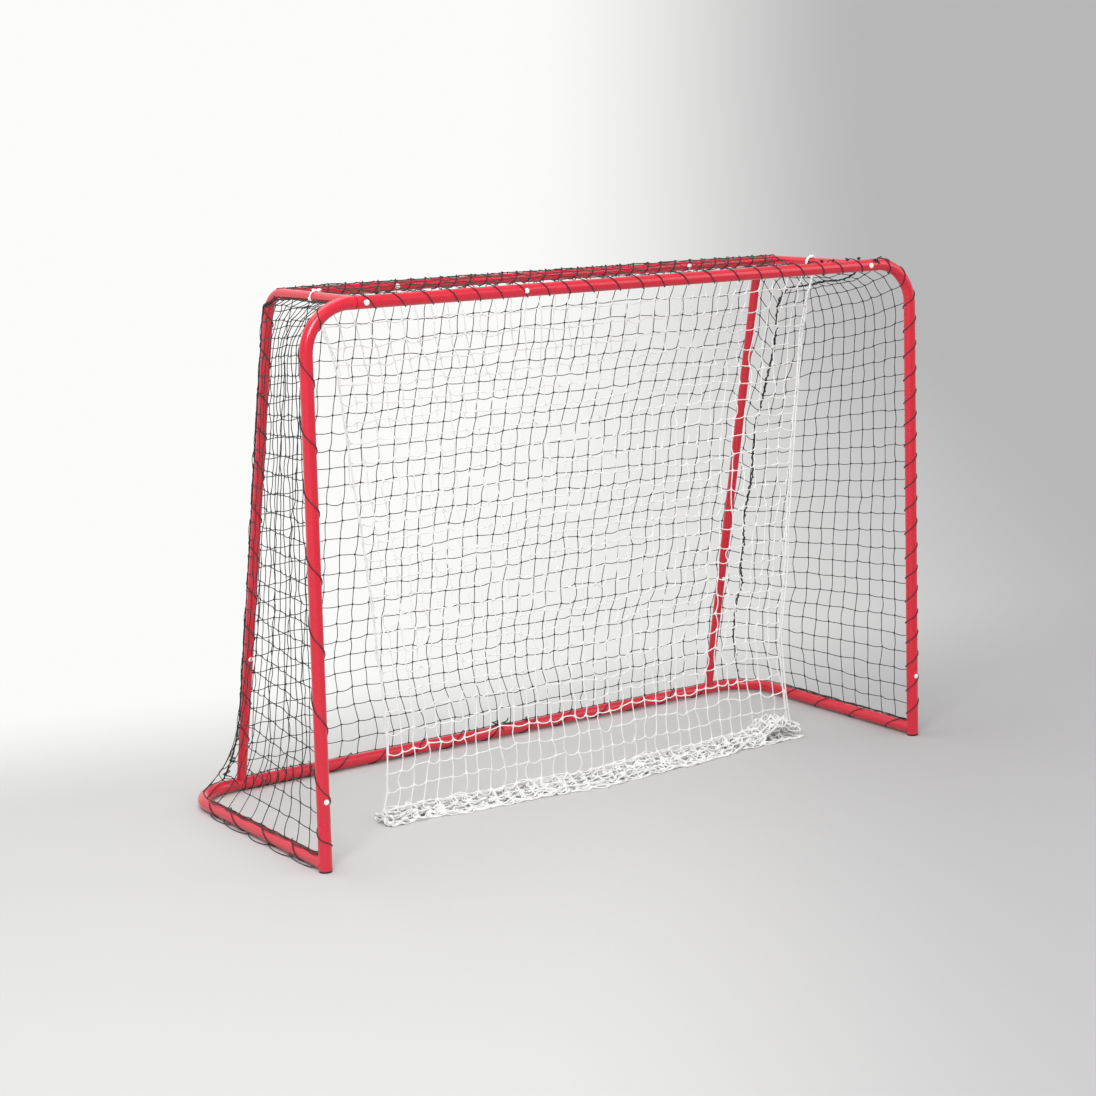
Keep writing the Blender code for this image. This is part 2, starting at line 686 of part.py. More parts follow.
def flat_on_floor(shop, obj):
    """The bars' weight flattens the lace where it lies under them."""
    shop.cut_box(obj, (-INNER_WIDTH, -FLOOR_DEPTH, -CUT_REACH), (INNER_WIDTH, 2 * FLOOR_DEPTH, 0))


def drop_half(v):
    """Half the drop net's width, from the floor at 0 to the cord at 1."""
    waist = mix(DROP_WAIST_HALF, DROP_TOP_HALF, v ** 2)
    flare = (DROP_FLOOR_HALF - DROP_WAIST_HALF) * math.exp(-((v / DROP_FLARE_SHARE) ** 2))
    return waist + flare


def hang_cord(shop, axis_z):
    """The cord that the drop net hangs on, looped round both supports."""
    reach = (BAR_Z - axis_z) / math.cos(math.pi / LOOP_POINTS)
    points = []
    for k in range(LOOP_POINTS * 3 // 4 + 1):
        a = math.radians(-90 + 360 / LOOP_POINTS * k)
        radius = BAR_Z - axis_z if k == 0 else reach
        back = DROP_DEPTH + DROP_CORD_STEP * k
        points.append(Vector((SUPPORT_X + radius * math.cos(a), back,
                              BAR_Z + radius * math.sin(a))))
    mirrored = [Vector((-p.x, p.y, p.z)) for p in reversed(points)]
    shop.add(as_mesh(curve_object("drop_net_cord", mirrored + points,
                                  DROP_CORD_DIAMETER / 2, 6), True), DROP)


def drop_net(shop):
    axis_z = BAR_Z - SUPPORT_R - 2 * GAP - DROP_CORD_DIAMETER / 2
    top = -(DROP_CORD_DIAMETER / 2 + DROP_CORD_GAP + STRAND / 2)
    floor = GAP + STRAND / 2 - axis_z
    pivot = bpy.data.objects.new("drop_net_swing", None)
    pivot.location = (0, DROP_DEPTH, axis_z)
    pivot.parent = shop.frame
    shop.parts.objects.link(pivot)
    rows = DROP_GAPS[1]
    hang_cord(shop, axis_z)
    heap = {0: (-0.5, 0.0), 1: (0.5, 0.15)}

    def place(u, v):
        row = round(v * rows)
        share = max(0.0, (row - 1) / (rows - 1))
        x = (2 * u - 1) * drop_half(share)
        if row in heap:
            y, z = heap[row]
            ripple = DROP_RIPPLE * math.sin(2 * math.pi * DROP_WAVES * u + row)
            return Vector((x, (y + ripple * 0.3) * DROP_HEAP, floor + z * DROP_HEAP_HEIGHT))
        lowest = floor + DROP_HEAP_HEIGHT
        z = mix(lowest, top, (row - 2) / (rows - 2))
        y = DROP_WAVE * (1 - share) * math.sin(2 * math.pi * DROP_WAVES * u)
        return Vector((x, y, z))

    shop.add(net("drop_net", DROP_GAPS, place), DROP, pivot)


def main():
    clear_scene()
    shop = Shop()
    front_reach = FRAME_R + 2 * GAP + BOLT_HEAD_HEIGHT + GAP + CAP_WALL
    rear_lace = lace_over(BORDER_R) * math.cos(math.radians(BORDER_TILT))
    rear_reach = FLOOR_DEPTH + rear_lace + LACE_DIAMETER / 2
    shop.frame.location = (0, (front_reach - rear_reach) / 2, 0)
    front_frame(shop)
    base_frame(shop)
    supports(shop)
    fittings(shop)
    nets(shop)
    lacing(shop)
    drop_net(shop)


main()
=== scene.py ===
"""Looks of a floorball goal: painted tubes, knotted nets, lacing and a white drop net.

Lengths are in metres. Pieces are drawn from the goal line: x along it to the right,
y back into the goal and z up from the floor. publish() then moves each mesh to where
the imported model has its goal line.
"""

import logging
import math
from dataclasses import dataclass, field
from enum import Enum
from typing import Callable, Iterable, Optional, Sequence, Union

import bmesh
import bpy
import numpy as np
from bmesh.types import BMEdge, BMVert
from mathutils import Matrix, Vector, noise


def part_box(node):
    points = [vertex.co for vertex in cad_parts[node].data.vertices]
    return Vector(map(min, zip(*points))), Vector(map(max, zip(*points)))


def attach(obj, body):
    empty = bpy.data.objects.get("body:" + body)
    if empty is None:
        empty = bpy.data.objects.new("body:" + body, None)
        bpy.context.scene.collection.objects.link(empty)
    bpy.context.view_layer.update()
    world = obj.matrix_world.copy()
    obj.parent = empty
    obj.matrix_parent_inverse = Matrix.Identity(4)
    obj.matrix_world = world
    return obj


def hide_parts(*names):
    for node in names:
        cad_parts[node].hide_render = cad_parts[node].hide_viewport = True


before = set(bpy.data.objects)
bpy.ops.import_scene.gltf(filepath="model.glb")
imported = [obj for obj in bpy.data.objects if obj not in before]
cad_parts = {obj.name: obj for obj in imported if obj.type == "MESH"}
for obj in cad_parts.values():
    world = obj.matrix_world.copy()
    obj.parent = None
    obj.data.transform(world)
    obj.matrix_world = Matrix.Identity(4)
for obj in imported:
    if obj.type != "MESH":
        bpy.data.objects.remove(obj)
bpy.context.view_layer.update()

log = logging.getLogger("floorball_goal")

Colour = tuple[float, float, float]
Surface = Callable[[float, float], Vector]
Edge = Callable[[float], Vector]

# The goal's lines, as the CAD has them
POST_X = 0.814
BAR_Z = 1.164
BASE_Z = 0.017
FLOOR_DEPTH = 0.650
TOP_DEPTH = 0.410
REAR_BAR_DEPTH = 0.345
SUPPORT_X = 0.680
FRAME_R = 0.014
SUPPORT_R = 0.011
WALL = 0.0015
CORNER_RADIUS = 0.100
BASE_RADIUS = 0.110
SUPPORT_RADIUS = 0.070
FOOT_FLANGE = 0.004
CROSSBAR_HALF = 0.700
BASE_BAR_HALF = 0.620
GAP = 0.0003
SHOULDER = 0.0015
SPIGOT_LENGTH = 0.080
DROP_DEPTH = 0.200
HINGE_Z = 1.1504

TUBE_SIDES = 40
BEND_STEPS = 16
LACE_R = 0.0011
LACE_SIDES = 8
TWINE = 0.0019
TWINE_SIDES = 6
NOISE_SEED = 5

# The angle in degrees from which an edge of each kind of piece is shaded sharp
TUBE_EDGE = 35.0
MOULDED_EDGE = 40.0
CORD_EDGE = 60.0

ACROSS = Vector((1, 0, 0))
BACK = Vector((0, 1, 0))
UP = Vector((0, 0, 1))
ORIGIN = Vector((0, 0, 0))


def goal_line() -> float:
    """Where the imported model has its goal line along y."""
    low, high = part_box("crossbar")
    return (low.y + high.y) / 2


GOAL_LINE = goal_line()


class Body(Enum):
    """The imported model's moving bodies."""

    FRAME = "frame"
    DROP_NET = "drop_net"


class Slot(Enum):
    """The names of the record's material slots."""

    RED = "red_steel"
    BLACK_NET = "black_net"
    BLACK_LACE = "black_lace"
    WHITE_NET = "white_net"
    WHITE_PLASTIC = "white_plastic"
    BLACK_PLASTIC = "black_plastic"


class Side(Enum):
    """Left and right as seen from the field."""

    LEFT = -1
    RIGHT = 1

    @property
    def word(self) -> str:
        """The side's name in a piece's name."""
        return self.name.lower()


class Value:
    """A socket's value in a shader, for sums that add their own Math nodes."""

    def __init__(self, shader: "Shader", socket: bpy.types.NodeSocket) -> None:
        """Wraps an output socket of the shader's node tree."""
        self.shader = shader
        self.socket = socket

    def _math(self, operation: str, first: "Operand", second: "Operand") -> "Value":
        """Adds a Math node.

        Args:
            operation: the node's operation.
            first: its first input.
            second: its second input.

        Returns:
            The node's result.
        """
        return self.shader.node("ShaderNodeMath", {"operation": operation},
                                {0: first, 1: second})

    def __add__(self, other: "Operand") -> "Value":
        """self + other."""
        return self._math("ADD", self, other)

    __radd__ = __add__

    def __sub__(self, other: "Operand") -> "Value":
        """self - other."""
        return self._math("SUBTRACT", self, other)

    def __rsub__(self, other: "Operand") -> "Value":
        """other - self."""
        return self._math("SUBTRACT", other, self)

    def __mul__(self, other: "Operand") -> "Value":
        """self * other."""
        return self._math("MULTIPLY", self, other)

    __rmul__ = __mul__

    def __truediv__(self, other: "Operand") -> "Value":
        """self / other."""
        return self._math("DIVIDE", self, other)

    def __pow__(self, other: "Operand") -> "Value":
        """self to the power of other."""
        return self._math("POWER", self, other)

    def held(self) -> "Value":
        """The value kept between 0 and 1."""
        return self.shader.node("ShaderNodeClamp", {}, {0: self})


Operand = Union[Value, float, int]
Input = Union[Value, float, Sequence[float], Vector]


class Shader:
    """A material or a world under construction."""

    def __init__(self, name: str, world: bool = False) -> None:
        """Starts a material, or else a world, with an empty node tree.

        Args:
            name: the material's or world's name.
            world: whether it is a world.
        """
        blocks = bpy.data.worlds if world else bpy.data.materials
        self.block = blocks.new(name)
        self.block.use_nodes = True
        self.tree = self.block.node_tree
        self.tree.nodes.clear()
        kind = "World" if world else "Material"
        self.output = self.tree.nodes.new(f"ShaderNodeOutput{kind}")

    def node(self, kind: str, settings: Optional[dict] = None,
             inputs: Optional[dict] = None, output: Union[int, str] = 0) -> Value:
        """Adds a node.

        Args:
            kind: the node's type.
            settings: its properties.
            inputs: values or links, by socket name or number.
            output: the output that is wanted.

        Returns:
            That output.
        """
        made = self.tree.nodes.new(kind)
        for key, value in (settings or {}).items():
            setattr(made, key, value)
        for key, value in (inputs or {}).items():
            socket = made.inputs[key]
            if isinstance(value, Value):
                self.tree.links.new(value.socket, socket)
            else:
                socket.default_value = value
        return Value(self, made.outputs[output])

    def place(self) -> Value:
        """The point's own coordinates in the piece, in metres."""
        return self.node("ShaderNodeTexCoord", output="Object")

    def noise(self, place: Value, scale: float, detail: float = 3.0,
              roughness: float = 0.5) -> Value:
        """Cloudy noise from 0 to 1 with scale clouds in a metre."""
        return self.node("ShaderNodeTexNoise", {}, {"Vector": place, "Scale": scale,
                                                    "Detail": detail,
                                                    "Roughness": roughness})

    def tint(self, share: Operand, first: Input, second: Input) -> Value:
        """Mixes two colours: the first at a share of 0, the second at 1."""
        ends = [(*c, 1) if isinstance(c, tuple) else c for c in (first, second)]
        return self.node("ShaderNodeMix", {"data_type": "RGBA"},
                         {0: share, 6: ends[0], 7: ends[1]}, output=2)

    def bump(self, height: Value, depth: float, strength: float) -> Value:
        """Turns a height from 0 to 1 into a normal, depth metres deep."""
        return self.node("ShaderNodeBump", {}, {"Height": height, "Distance": depth,
                                                "Strength": strength})

    def span(self, value: Value, low: float, high: float) -> Value:
        """Goes smoothly from 0 to 1 as the value goes from low to high."""
        return self.node("ShaderNodeMapRange", {"interpolation_type": "SMOOTHSTEP"},
                         {"Value": value, "From Min": low, "From Max": high})

    def towards(self, place: Value, direction: Sequence[float]) -> Value:
        """How far a point lies in a direction."""
        return self.node("ShaderNodeVectorMath", {"operation": "DOT_PRODUCT"},
                         {0: place, 1: direction}, output=1)

    def seen(self) -> Value:
        """1 for what is seen, plainly, in a reflection or through something clear."""
        rays = [self.node("ShaderNodeLightPath", output=f"Is {kind} Ray")
                for kind in ("Camera", "Glossy", "Transmission")]
        return (rays[0] + rays[1] + rays[2]).held()

    def principled(self, **inputs: Input) -> Value:
        """A Principled shader; its sockets have _ for each space in a name."""
        named = {key.replace("_", " "): value for key, value in inputs.items()}
        return self.node("ShaderNodeBsdfPrincipled", {}, named)

    def finished(self, shader: Value) -> Union[bpy.types.Material, bpy.types.World]:
        """The material or world that ends in this shader."""
        self.tree.links.new(shader.socket, self.output.inputs["Surface"])
        return self.block


@dataclass(frozen=True)
class PowderCoat:
    """Glossy powder paint: orange peel, soft mottling and floor dust low down."""

    name: str = "red_powder_coat"
    colour: Colour = (0.68, 0.006, 0.032)
    deep: Colour = (0.60, 0.004, 0.024)
    dust: Colour = (0.50, 0.16, 0.17)
    roughness: float = 0.27
    peel_scale: float = 520.0
    peel_depth: float = 0.00012
    peel_strength: float = 0.35
    mottle_scale: float = 7.0
    speck_scale: float = 240.0
    speck_from: float = 0.62
    speck_gain: float = 6.0
    dust_height: float = 0.16
    dust_share: float = 0.18
    clear_coat: float = 0.35
    coat_roughness: float = 0.12

    def build(self) -> bpy.types.Material:
        """The paint as a material.

        Returns:
            The material.
        """
        s = Shader(self.name)
        place = s.place()
        peel = s.noise(place, self.peel_scale, 2.0, 0.4)
        mottle = s.noise(place, self.mottle_scale, 4.0, 0.6)
        specks = (s.noise(place, self.speck_scale, 2.0) - self.speck_from) * self.speck_gain
        height = s.node("ShaderNodeSeparateXYZ", {}, {0: place}, output=2)
        low = ((self.dust_height - height) / self.dust_height).held() ** 2.0
        dusty = (low * (mottle * 0.5 + specks.held() * 0.5)).held()
        paint = s.tint((mottle * 1.6 - 0.3).held(), self.deep, self.colour)
        colour = s.tint(dusty * self.dust_share, paint, self.dust)
        rough = mottle * 0.08 + dusty * 0.25 + (self.roughness - 0.04)
        return s.finished(s.principled(Base_Color=colour, Roughness=rough,
                                       Coat_Weight=self.clear_coat,
                                       Coat_Roughness=self.coat_roughness,
                                       Normal=s.bump(peel, self.peel_depth,
                                                     self.peel_strength)))


@dataclass(frozen=True)
class Twine:
    """Twisted and knotted yarn: fine plies, fuzz and uneven dye."""

    name: str
    colour: Colour
    pale: Colour
    roughness: float
    ply_scale: float
    sheen: float
    ply_depth: float = 0.00035
    ply_strength: float = 0.7
    ply_distortion: float = 2.5
    ply_detail_scale: float = 1.4
    fuzz_scale: float = 2200.0
    dye_scale: float = 26.0
    sheen_roughness: float = 0.5

    def build(self) -> bpy.types.Material:
        """The yarn as a material.

        Returns:
            The material.
        """
        s = Shader(self.name)
        place = s.place()
        plies = s.node("ShaderNodeTexWave",
                       {"wave_type": "BANDS", "bands_direction": "DIAGONAL"},
                       {"Vector": place, "Scale": self.ply_scale, "Detail": 2.0,
                        "Distortion": self.ply_distortion,
                        "Detail Scale": self.ply_detail_scale}, output=1)
        fuzz = s.noise(place, self.fuzz_scale, 2.0)
        dye = s.noise(place, self.dye_scale)
        wear = (dye * 0.6 + plies * 0.3 + fuzz * 0.25 - 0.25).held()
        colour = s.tint(wear, self.colour, self.pale)
        rough = fuzz * 0.12 + (self.roughness - 0.06)
        normal = s.bump(plies * 0.8 + fuzz * 0.2, self.ply_depth, self.ply_strength)
        return s.finished(s.principled(Base_Color=colour, Roughness=rough, Normal=normal,
                                       Sheen_Weight=self.sheen,
                                       Sheen_Roughness=self.sheen_roughness))


@dataclass(frozen=True)
class Moulding:
    """Moulded plastic with a fine spark grain and scuffs."""

    name: str
    colour: Colour
    scuffed: Colour
    roughness: float
    grain_scale: float = 1600.0
    grain_depth: float = 0.0001
    grain_strength: float = 0.4
    scuff_scale: float = 90.0
    scuff_from: float = 0.55
    scuff_gain: float = 4.0

    def build(self) -> bpy.types.Material:
        """The plastic as a material.

        Returns:
            The material.
        """
        s = Shader(self.name)
        place = s.place()
        grain = s.noise(place, self.grain_scale, 2.0)
        spots = s.noise(place, self.scuff_scale, 5.0, 0.7)
        scuffs = ((spots - self.scuff_from) * self.scuff_gain).held()
        colour = s.tint(scuffs * 0.5, self.colour, self.scuffed)
        rough = scuffs * 0.2 + (self.roughness + 0.02)
        return s.finished(s.principled(Base_Color=colour, Roughness=rough,
                                       Normal=s.bump(grain, self.grain_depth,
                                                     self.grain_strength)))


@dataclass(frozen=True)
class ZincPlate:
    """Bright zinc plating, a little cloudy."""

    name: str = "zinc_plate"
    colour: Colour = (0.55, 0.56, 0.58)
    clouded: Colour = (0.42, 0.43, 0.45)
    cloud_scale: float = 140.0
    grain_scale: float = 900.0
    grain_depth: float = 0.0001
    grain_strength: float = 0.3

    def build(self) -> bpy.types.Material:
        """The plating as a material.

        Returns:
            The material.
        """
        s = Shader(self.name)
        place = s.place()
        cloud = s.noise(place, self.cloud_scale, 4.0, 0.6)
        grain = s.noise(place, self.grain_scale)
        colour = s.tint(cloud, self.colour, self.clouded)
        return s.finished(s.principled(Base_Color=colour, Roughness=cloud * 0.2 + 0.25,
                                       Metallic=1.0,
                                       Normal=s.bump(grain, self.grain_depth,
                                                     self.grain_strength)))


@dataclass(frozen=True)
class StudioPaper:
    """Pale paper: a matt floor, with painted shade towards the right, that runs into a glowing
    backdrop with painted light, white on the left and painted shade towards the right.

    Each pair gives where a change starts and ends, in metres from the goal's middle:
    the floor's painted shade, from its colour to painted shade towards the right on the
    floor; backdrop, from floor to backdrop with the depth; shading, from lit to shaded
    across the backdrop; around, to the backdrop on every side.
    """

    name: str = "studio_paper"
    colour: Colour = (0.59, 0.59, 0.58)
    scuffed: Colour = (0.57, 0.57, 0.56)
    painted_floor_shade: Colour = (0.46, 0.455, 0.46)
    lit: Colour = (0.97, 0.97, 0.955)
    shaded: Colour = (0.48, 0.475, 0.48)
    azimuth: float = 36.59
    lean: float = 0.45
    painted_floor_shading: tuple[float, float] = (0.0, 1.0)
    backdrop: tuple[float, float] = (0.2, 1.3)
    shading: tuple[float, float] = (-0.9, 2.0)
    around: tuple[float, float] = (2.6, 5.0)
    cloud_scale: float = 0.8
    wear_scale: float = 3.0

    def build(self) -> bpy.types.Material:
        """The paper as a material.

        Returns:
            The material.
        """
        s = Shader(self.name)
        place = s.place()
        sine = math.sin(math.radians(self.azimuth))
        cosine = math.cos(math.radians(self.azimuth))
        depth = s.towards(place, (sine, cosine, 0))
        across = s.towards(place, (cosine, -sine, 0))
        cloud = s.noise(place, self.cloud_scale, 4.0, 0.6)
        pale = s.tint(cloud, self.colour, self.scuffed)
        # painted shade: the floor's colour darkens towards the right, standing in for less
        # light falling there
        floor_with_painted_shade = s.tint(s.span(across, *self.painted_floor_shading), pale, self.painted_floor_shade)
        floor = s.principled(Base_Color=floor_with_painted_shade,
                             Roughness=s.noise(place, self.wear_scale) * 0.2 + 0.7)
        # painted light: the backdrop is an emission glow seen by camera, glossy and
        # transmission rays, painted lit white on the left and painted shade towards the right;
        # the floor fades into it behind the goal and far away, so the floor's real shadows fade
        # there too
        side = s.span(across, *self.shading)
        backdrop = s.node("ShaderNodeEmission", {},
                          {"Color": s.tint(side, self.lit, self.shaded)})
        far = s.span(depth - across * self.lean, *self.backdrop)
        away = s.node("ShaderNodeVectorMath", {"operation": "LENGTH"}, {0: place}, output=1)
        share = s.seen() * (far + s.span(away, *self.around)).held()
        return s.finished(s.node("ShaderNodeMixShader", {},
                                 {0: share, 1: floor, 2: backdrop}))


@dataclass(frozen=True)
class Finishes:
    """One material for each finish, made once."""

    paint: bpy.types.Material
    net: bpy.types.Material
    lace: bpy.types.Material
    white_net: bpy.types.Material
    white_plastic: bpy.types.Material
    black_plastic: bpy.types.Material
    zinc: bpy.types.Material
    paper: bpy.types.Material

    @classmethod
    def build(cls) -> "Finishes":
        """Makes every material.

        Returns:
            The finishes, each with its material.
        """
        black, worn = (0.010, 0.010, 0.011), (0.045, 0.044, 0.046)
        white, aged = (0.96, 0.96, 0.95), (0.91, 0.91, 0.89)
        return cls(
            paint=PowderCoat().build(),
            net=Twine("black_net_twine", black, worn, roughness=0.82, ply_scale=900.0,
                      sheen=0.1).build(),
            lace=Twine("black_lace_cord", black, (0.03, 0.03, 0.032), roughness=0.75,
                       ply_scale=620.0, sheen=0.1).build(),
            white_net=Twine("white_net_twine", white, aged, roughness=0.88,
                            ply_scale=700.0, sheen=0.25).build(),
            white_plastic=Moulding("white_moulding", (0.84, 0.84, 0.82),
                                   (0.62, 0.61, 0.58), roughness=0.38).build(),
            black_plastic=Moulding("black_moulding", (0.016, 0.016, 0.017),
                                   (0.10, 0.10, 0.10), roughness=0.46).build(),
            zinc=ZincPlate().build(),
            paper=StudioPaper().build(),
        )


def placed(name: str, data: bpy.types.ID) -> bpy.types.Object:
    """A new object with this data, in the scene.

    Args:
        name: the object's name.
        data: its mesh, camera or lamp.

    Returns:
        The object.
    """
    obj = bpy.data.objects.new(name, data)
    bpy.context.scene.collection.objects.link(obj)
    return obj


def publish(name: str, mesh: bpy.types.Mesh, finish: bpy.types.Material,
            body: Body = Body.FRAME, replaces: Sequence[str] = ()) -> None:
    """Puts a finished mesh on show.

    Args:
        name: the piece's name.
        mesh: its mesh, drawn from the goal line.
        finish: its material.
        body: the body it moves with.
        replaces: the CAD nodes that it stands for.
    """
    mesh.name = name
    mesh.transform(Matrix.Translation((0, GOAL_LINE, 0)))
    mesh.materials.clear()
    mesh.materials.append(finish)
    piece = placed(name, mesh)
    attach(piece, body.value)
    if replaces:
        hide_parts(*replaces)
    log.info("%s: %d faces", name, len(mesh.polygons))


def made_mesh(obj: bpy.types.Object) -> bpy.types.Mesh:
    """An object's mesh with its modifiers or bevel applied; the object is removed.

    Args:
        obj: the object, not yet in the scene.

    Returns:
        The mesh.
    """
    bpy.context.scene.collection.objects.link(obj)
    graph = bpy.context.evaluated_depsgraph_get()
    mesh = bpy.data.meshes.new_from_object(obj.evaluated_get(graph))
    bpy.data.objects.remove(obj, do_unlink=True)
    return mesh


def shaded(mesh: bpy.types.Mesh, angle: float) -> bpy.types.Mesh:
    """Shades a mesh smooth, but sharp where faces meet at more than the angle.

    Args:
        mesh: the mesh.
        angle: the angle in degrees.

    Returns:
        The same mesh.
    """
    mesh.shade_smooth()
    mesh.set_sharp_from_angle(angle=math.radians(angle))
    return mesh


def mesh_of(bm: bmesh.types.BMesh, name: str) -> bpy.types.Mesh:
    """A bmesh as a mesh, its faces turned outwards; the bmesh is freed.

    Args:
        bm: the bmesh.
        name: the mesh's name.

    Returns:
        The mesh.
    """
    bmesh.ops.recalc_face_normals(bm, faces=bm.faces)
    mesh = bpy.data.meshes.new(name)
    bm.to_mesh(mesh)
    bm.free()
    return mesh


def extruded(bm: bmesh.types.BMesh, edges: Sequence[BMEdge], step: Vector,
             ) -> tuple[list[BMVert], list[BMEdge]]:
    """Extrudes edges by a step.

    Args:
        bm: the bmesh that they belong to.
        edges: the edges.
        step: how far the new edges lie from them.

    Returns:
        The new points and the edges between them.
    """
    made = bmesh.ops.extrude_edge_only(bm, edges=edges)["geom"]
    verts = [item for item in made if isinstance(item, BMVert)]
    fresh = set(verts)
    line = [item for item in made if isinstance(item, BMEdge) and fresh.issuperset(item.verts)]
    bmesh.ops.translate(bm, verts=verts, vec=step)
    return verts, line


def mirrored(points: Iterable[Vector], sign: int) -> list[Vector]:
    """The points, on the other side of the goal's middle where the sign is -1."""
    return [Vector((sign * p.x, p.y, p.z)) for p in points]


@dataclass
class Run:
    """One length of cord: its centreline and its width at each point."""

    points: np.ndarray
    widths: np.ndarray
    closed: bool = False


def plain_run(points: Iterable[Vector], closed: bool = False) -> Run:
    """A run of even width."""
    line = np.array([tuple(p) for p in points])
    return Run(line, np.ones(len(line)), closed)


def cord_mesh(runs: Iterable[Run], radius: float, sides: int) -> bpy.types.Mesh:
    """Round cords as one mesh.

    Args:
        runs: the lengths of cord.
        radius: the radius where a run's width is 1.
        sides: how many sides a cord has, an even number.

    Returns:
        The mesh, its ends closed.
    """
    curve = bpy.data.curves.new("cord", "CURVE")
    curve.dimensions = "3D"
    curve.bevel_depth = radius
    curve.bevel_resolution = (sides - 4) // 2
    curve.use_fill_caps = True
    for run in runs:
        spline = curve.splines.new("POLY")
        spline.points.add(len(run.points) - 1)
        four = np.ones((len(run.points), 4))
        four[:, :3] = run.points
        spline.points.foreach_set("co", four.astype(np.float32).ravel())
        spline.points.foreach_set("radius", run.widths.astype(np.float32))
        spline.use_cyclic_u = run.closed
    mesh = made_mesh(bpy.data.objects.new("cord", curve))
    bpy.data.curves.remove(curve)
    return shaded(mesh, CORD_EDGE)


class PipeBender:
    """Bends a tube from straight runs and bends, a ring of its skin at a time."""

    def __init__(self, start: Vector, heading: Vector, radius: float) -> None:
        """Cuts the tube's first ring.

        Args:
            start: the middle of the tube's first end.
            heading: the direction that the tube sets out in.
            radius: the tube's outer radius.
        """
        self.bm = bmesh.new()
        self.place = start.copy()
        self.heading = heading.normalized()
        made = bmesh.ops.create_circle(self.bm, cap_ends=False, segments=TUBE_SIDES,
                                       radius=radius)
        self.first: list[BMVert] = list(made["verts"])
        turn = self.heading.to_track_quat("Z", "Y").to_matrix()
        bmesh.ops.rotate(self.bm, verts=self.first, cent=ORIGIN, matrix=turn)
        bmesh.ops.translate(self.bm, verts=self.first, vec=start)
        self.ring: list[BMEdge] = list(self.bm.edges)

    @property
    def last(self) -> list[BMVert]:
        """The points of the newest ring, each once."""
        return list(dict.fromkeys(vert for edge in self.ring for vert in edge.verts))

    def run(self, length: float, width: float = 1.0) -> "PipeBender":
        """Goes straight on, and swages the new end to a share of its width.

        Args:
            length: how far it goes.
            width: the new end's share of the tube's width.

        Returns:
            The bender itself.
        """
        step = self.heading * length
        verts, self.ring = extruded(self.bm, self.ring, step)
        self.place = self.place + step
        for vert in verts:
            vert.co = self.place + (vert.co - self.place) * width
        return self

    def bend(self, towards: Vector, radius: float, angle: float) -> "PipeBender":
        """Turns towards a direction at right angles to the heading.

        Args:
            towards: the direction that it turns to.
            radius: the bend's radius at the tube's middle.
            angle: how far it turns, in radians.

        Returns:
            The bender itself.
        """
        centre = self.place + towards.normalized() * radius
        axis = self.heading.cross(towards).normalized()
        made = bmesh.ops.spin(self.bm, geom=self.ring + self.last, cent=centre, axis=axis,
                              angle=angle, steps=BEND_STEPS, use_duplicate=False)
        self.ring = [item for item in made["geom_last"] if isinstance(item, BMEdge)]
        turn = Matrix.Rotation(angle, 3, axis)
        self.place = centre + turn @ (self.place - centre)
        self.heading = turn @ self.heading
        return self

    def through(self, corners: Sequence[Vector], radius: float) -> "PipeBender":
        """Runs from corner to corner with a bend at each but the last.

        Args:
            corners: the corners, and the end as the last.
            radius: the radius of every bend.

        Returns:
            The bender itself.
        """
        line = [self.place.copy(), *corners]
        reach = 0.0
        for before, corner, after in zip(line, line[1:], line[2:]):
            leave = (after - corner).normalized()
            angle = self.heading.angle(leave)
            ahead = radius * math.tan(angle / 2)
            self.run((corner - before).length - reach - ahead)
            inward = leave - self.heading * self.heading.dot(leave)
            self.bend(inward, radius, angle)
            reach = ahead
        return self.run((line[-1] - line[-2]).length - reach)

    def saddle(self, ring: Iterable[BMVert], place: Vector, axis: Vector, radius: float,
               along: Vector) -> list[Vector]:
        """Cuts an end to sit on a round bar.

        Args:
            ring: the end's points.
            place: a point on the bar's axis.
            axis: the bar's direction.
            radius: the bar's radius, with the gap to it.
            along: the direction from the bar into this tube.

        Returns:
            The points of the cut.
        """
        axis, along = axis.normalized(), along.normalized()
        cut = []
        for vert in ring:
            off = vert.co - place
            across = off - axis * off.dot(axis)
            slide = along - axis * along.dot(axis)
            a, b = slide.dot(slide), 2 * across.dot(slide)
            c = across.dot(across) - radius ** 2
            vert.co += along * ((-b + math.sqrt(max(0.0, b * b - 4 * a * c))) / (2 * a))
            cut.append(vert.co.copy())
        return cut

    def mesh(self) -> bpy.types.Mesh:
        """The tube with its wall.

        Returns:
            The tube's mesh, shaded.
        """
        obj = bpy.data.objects.new("tube", mesh_of(self.bm, "tube"))
        wall = obj.modifiers.new("wall", "SOLIDIFY")
        wall.thickness = WALL
        wall.offset = -1
        wall.use_even_offset = True
        return shaded(made_mesh(obj), TUBE_EDGE)


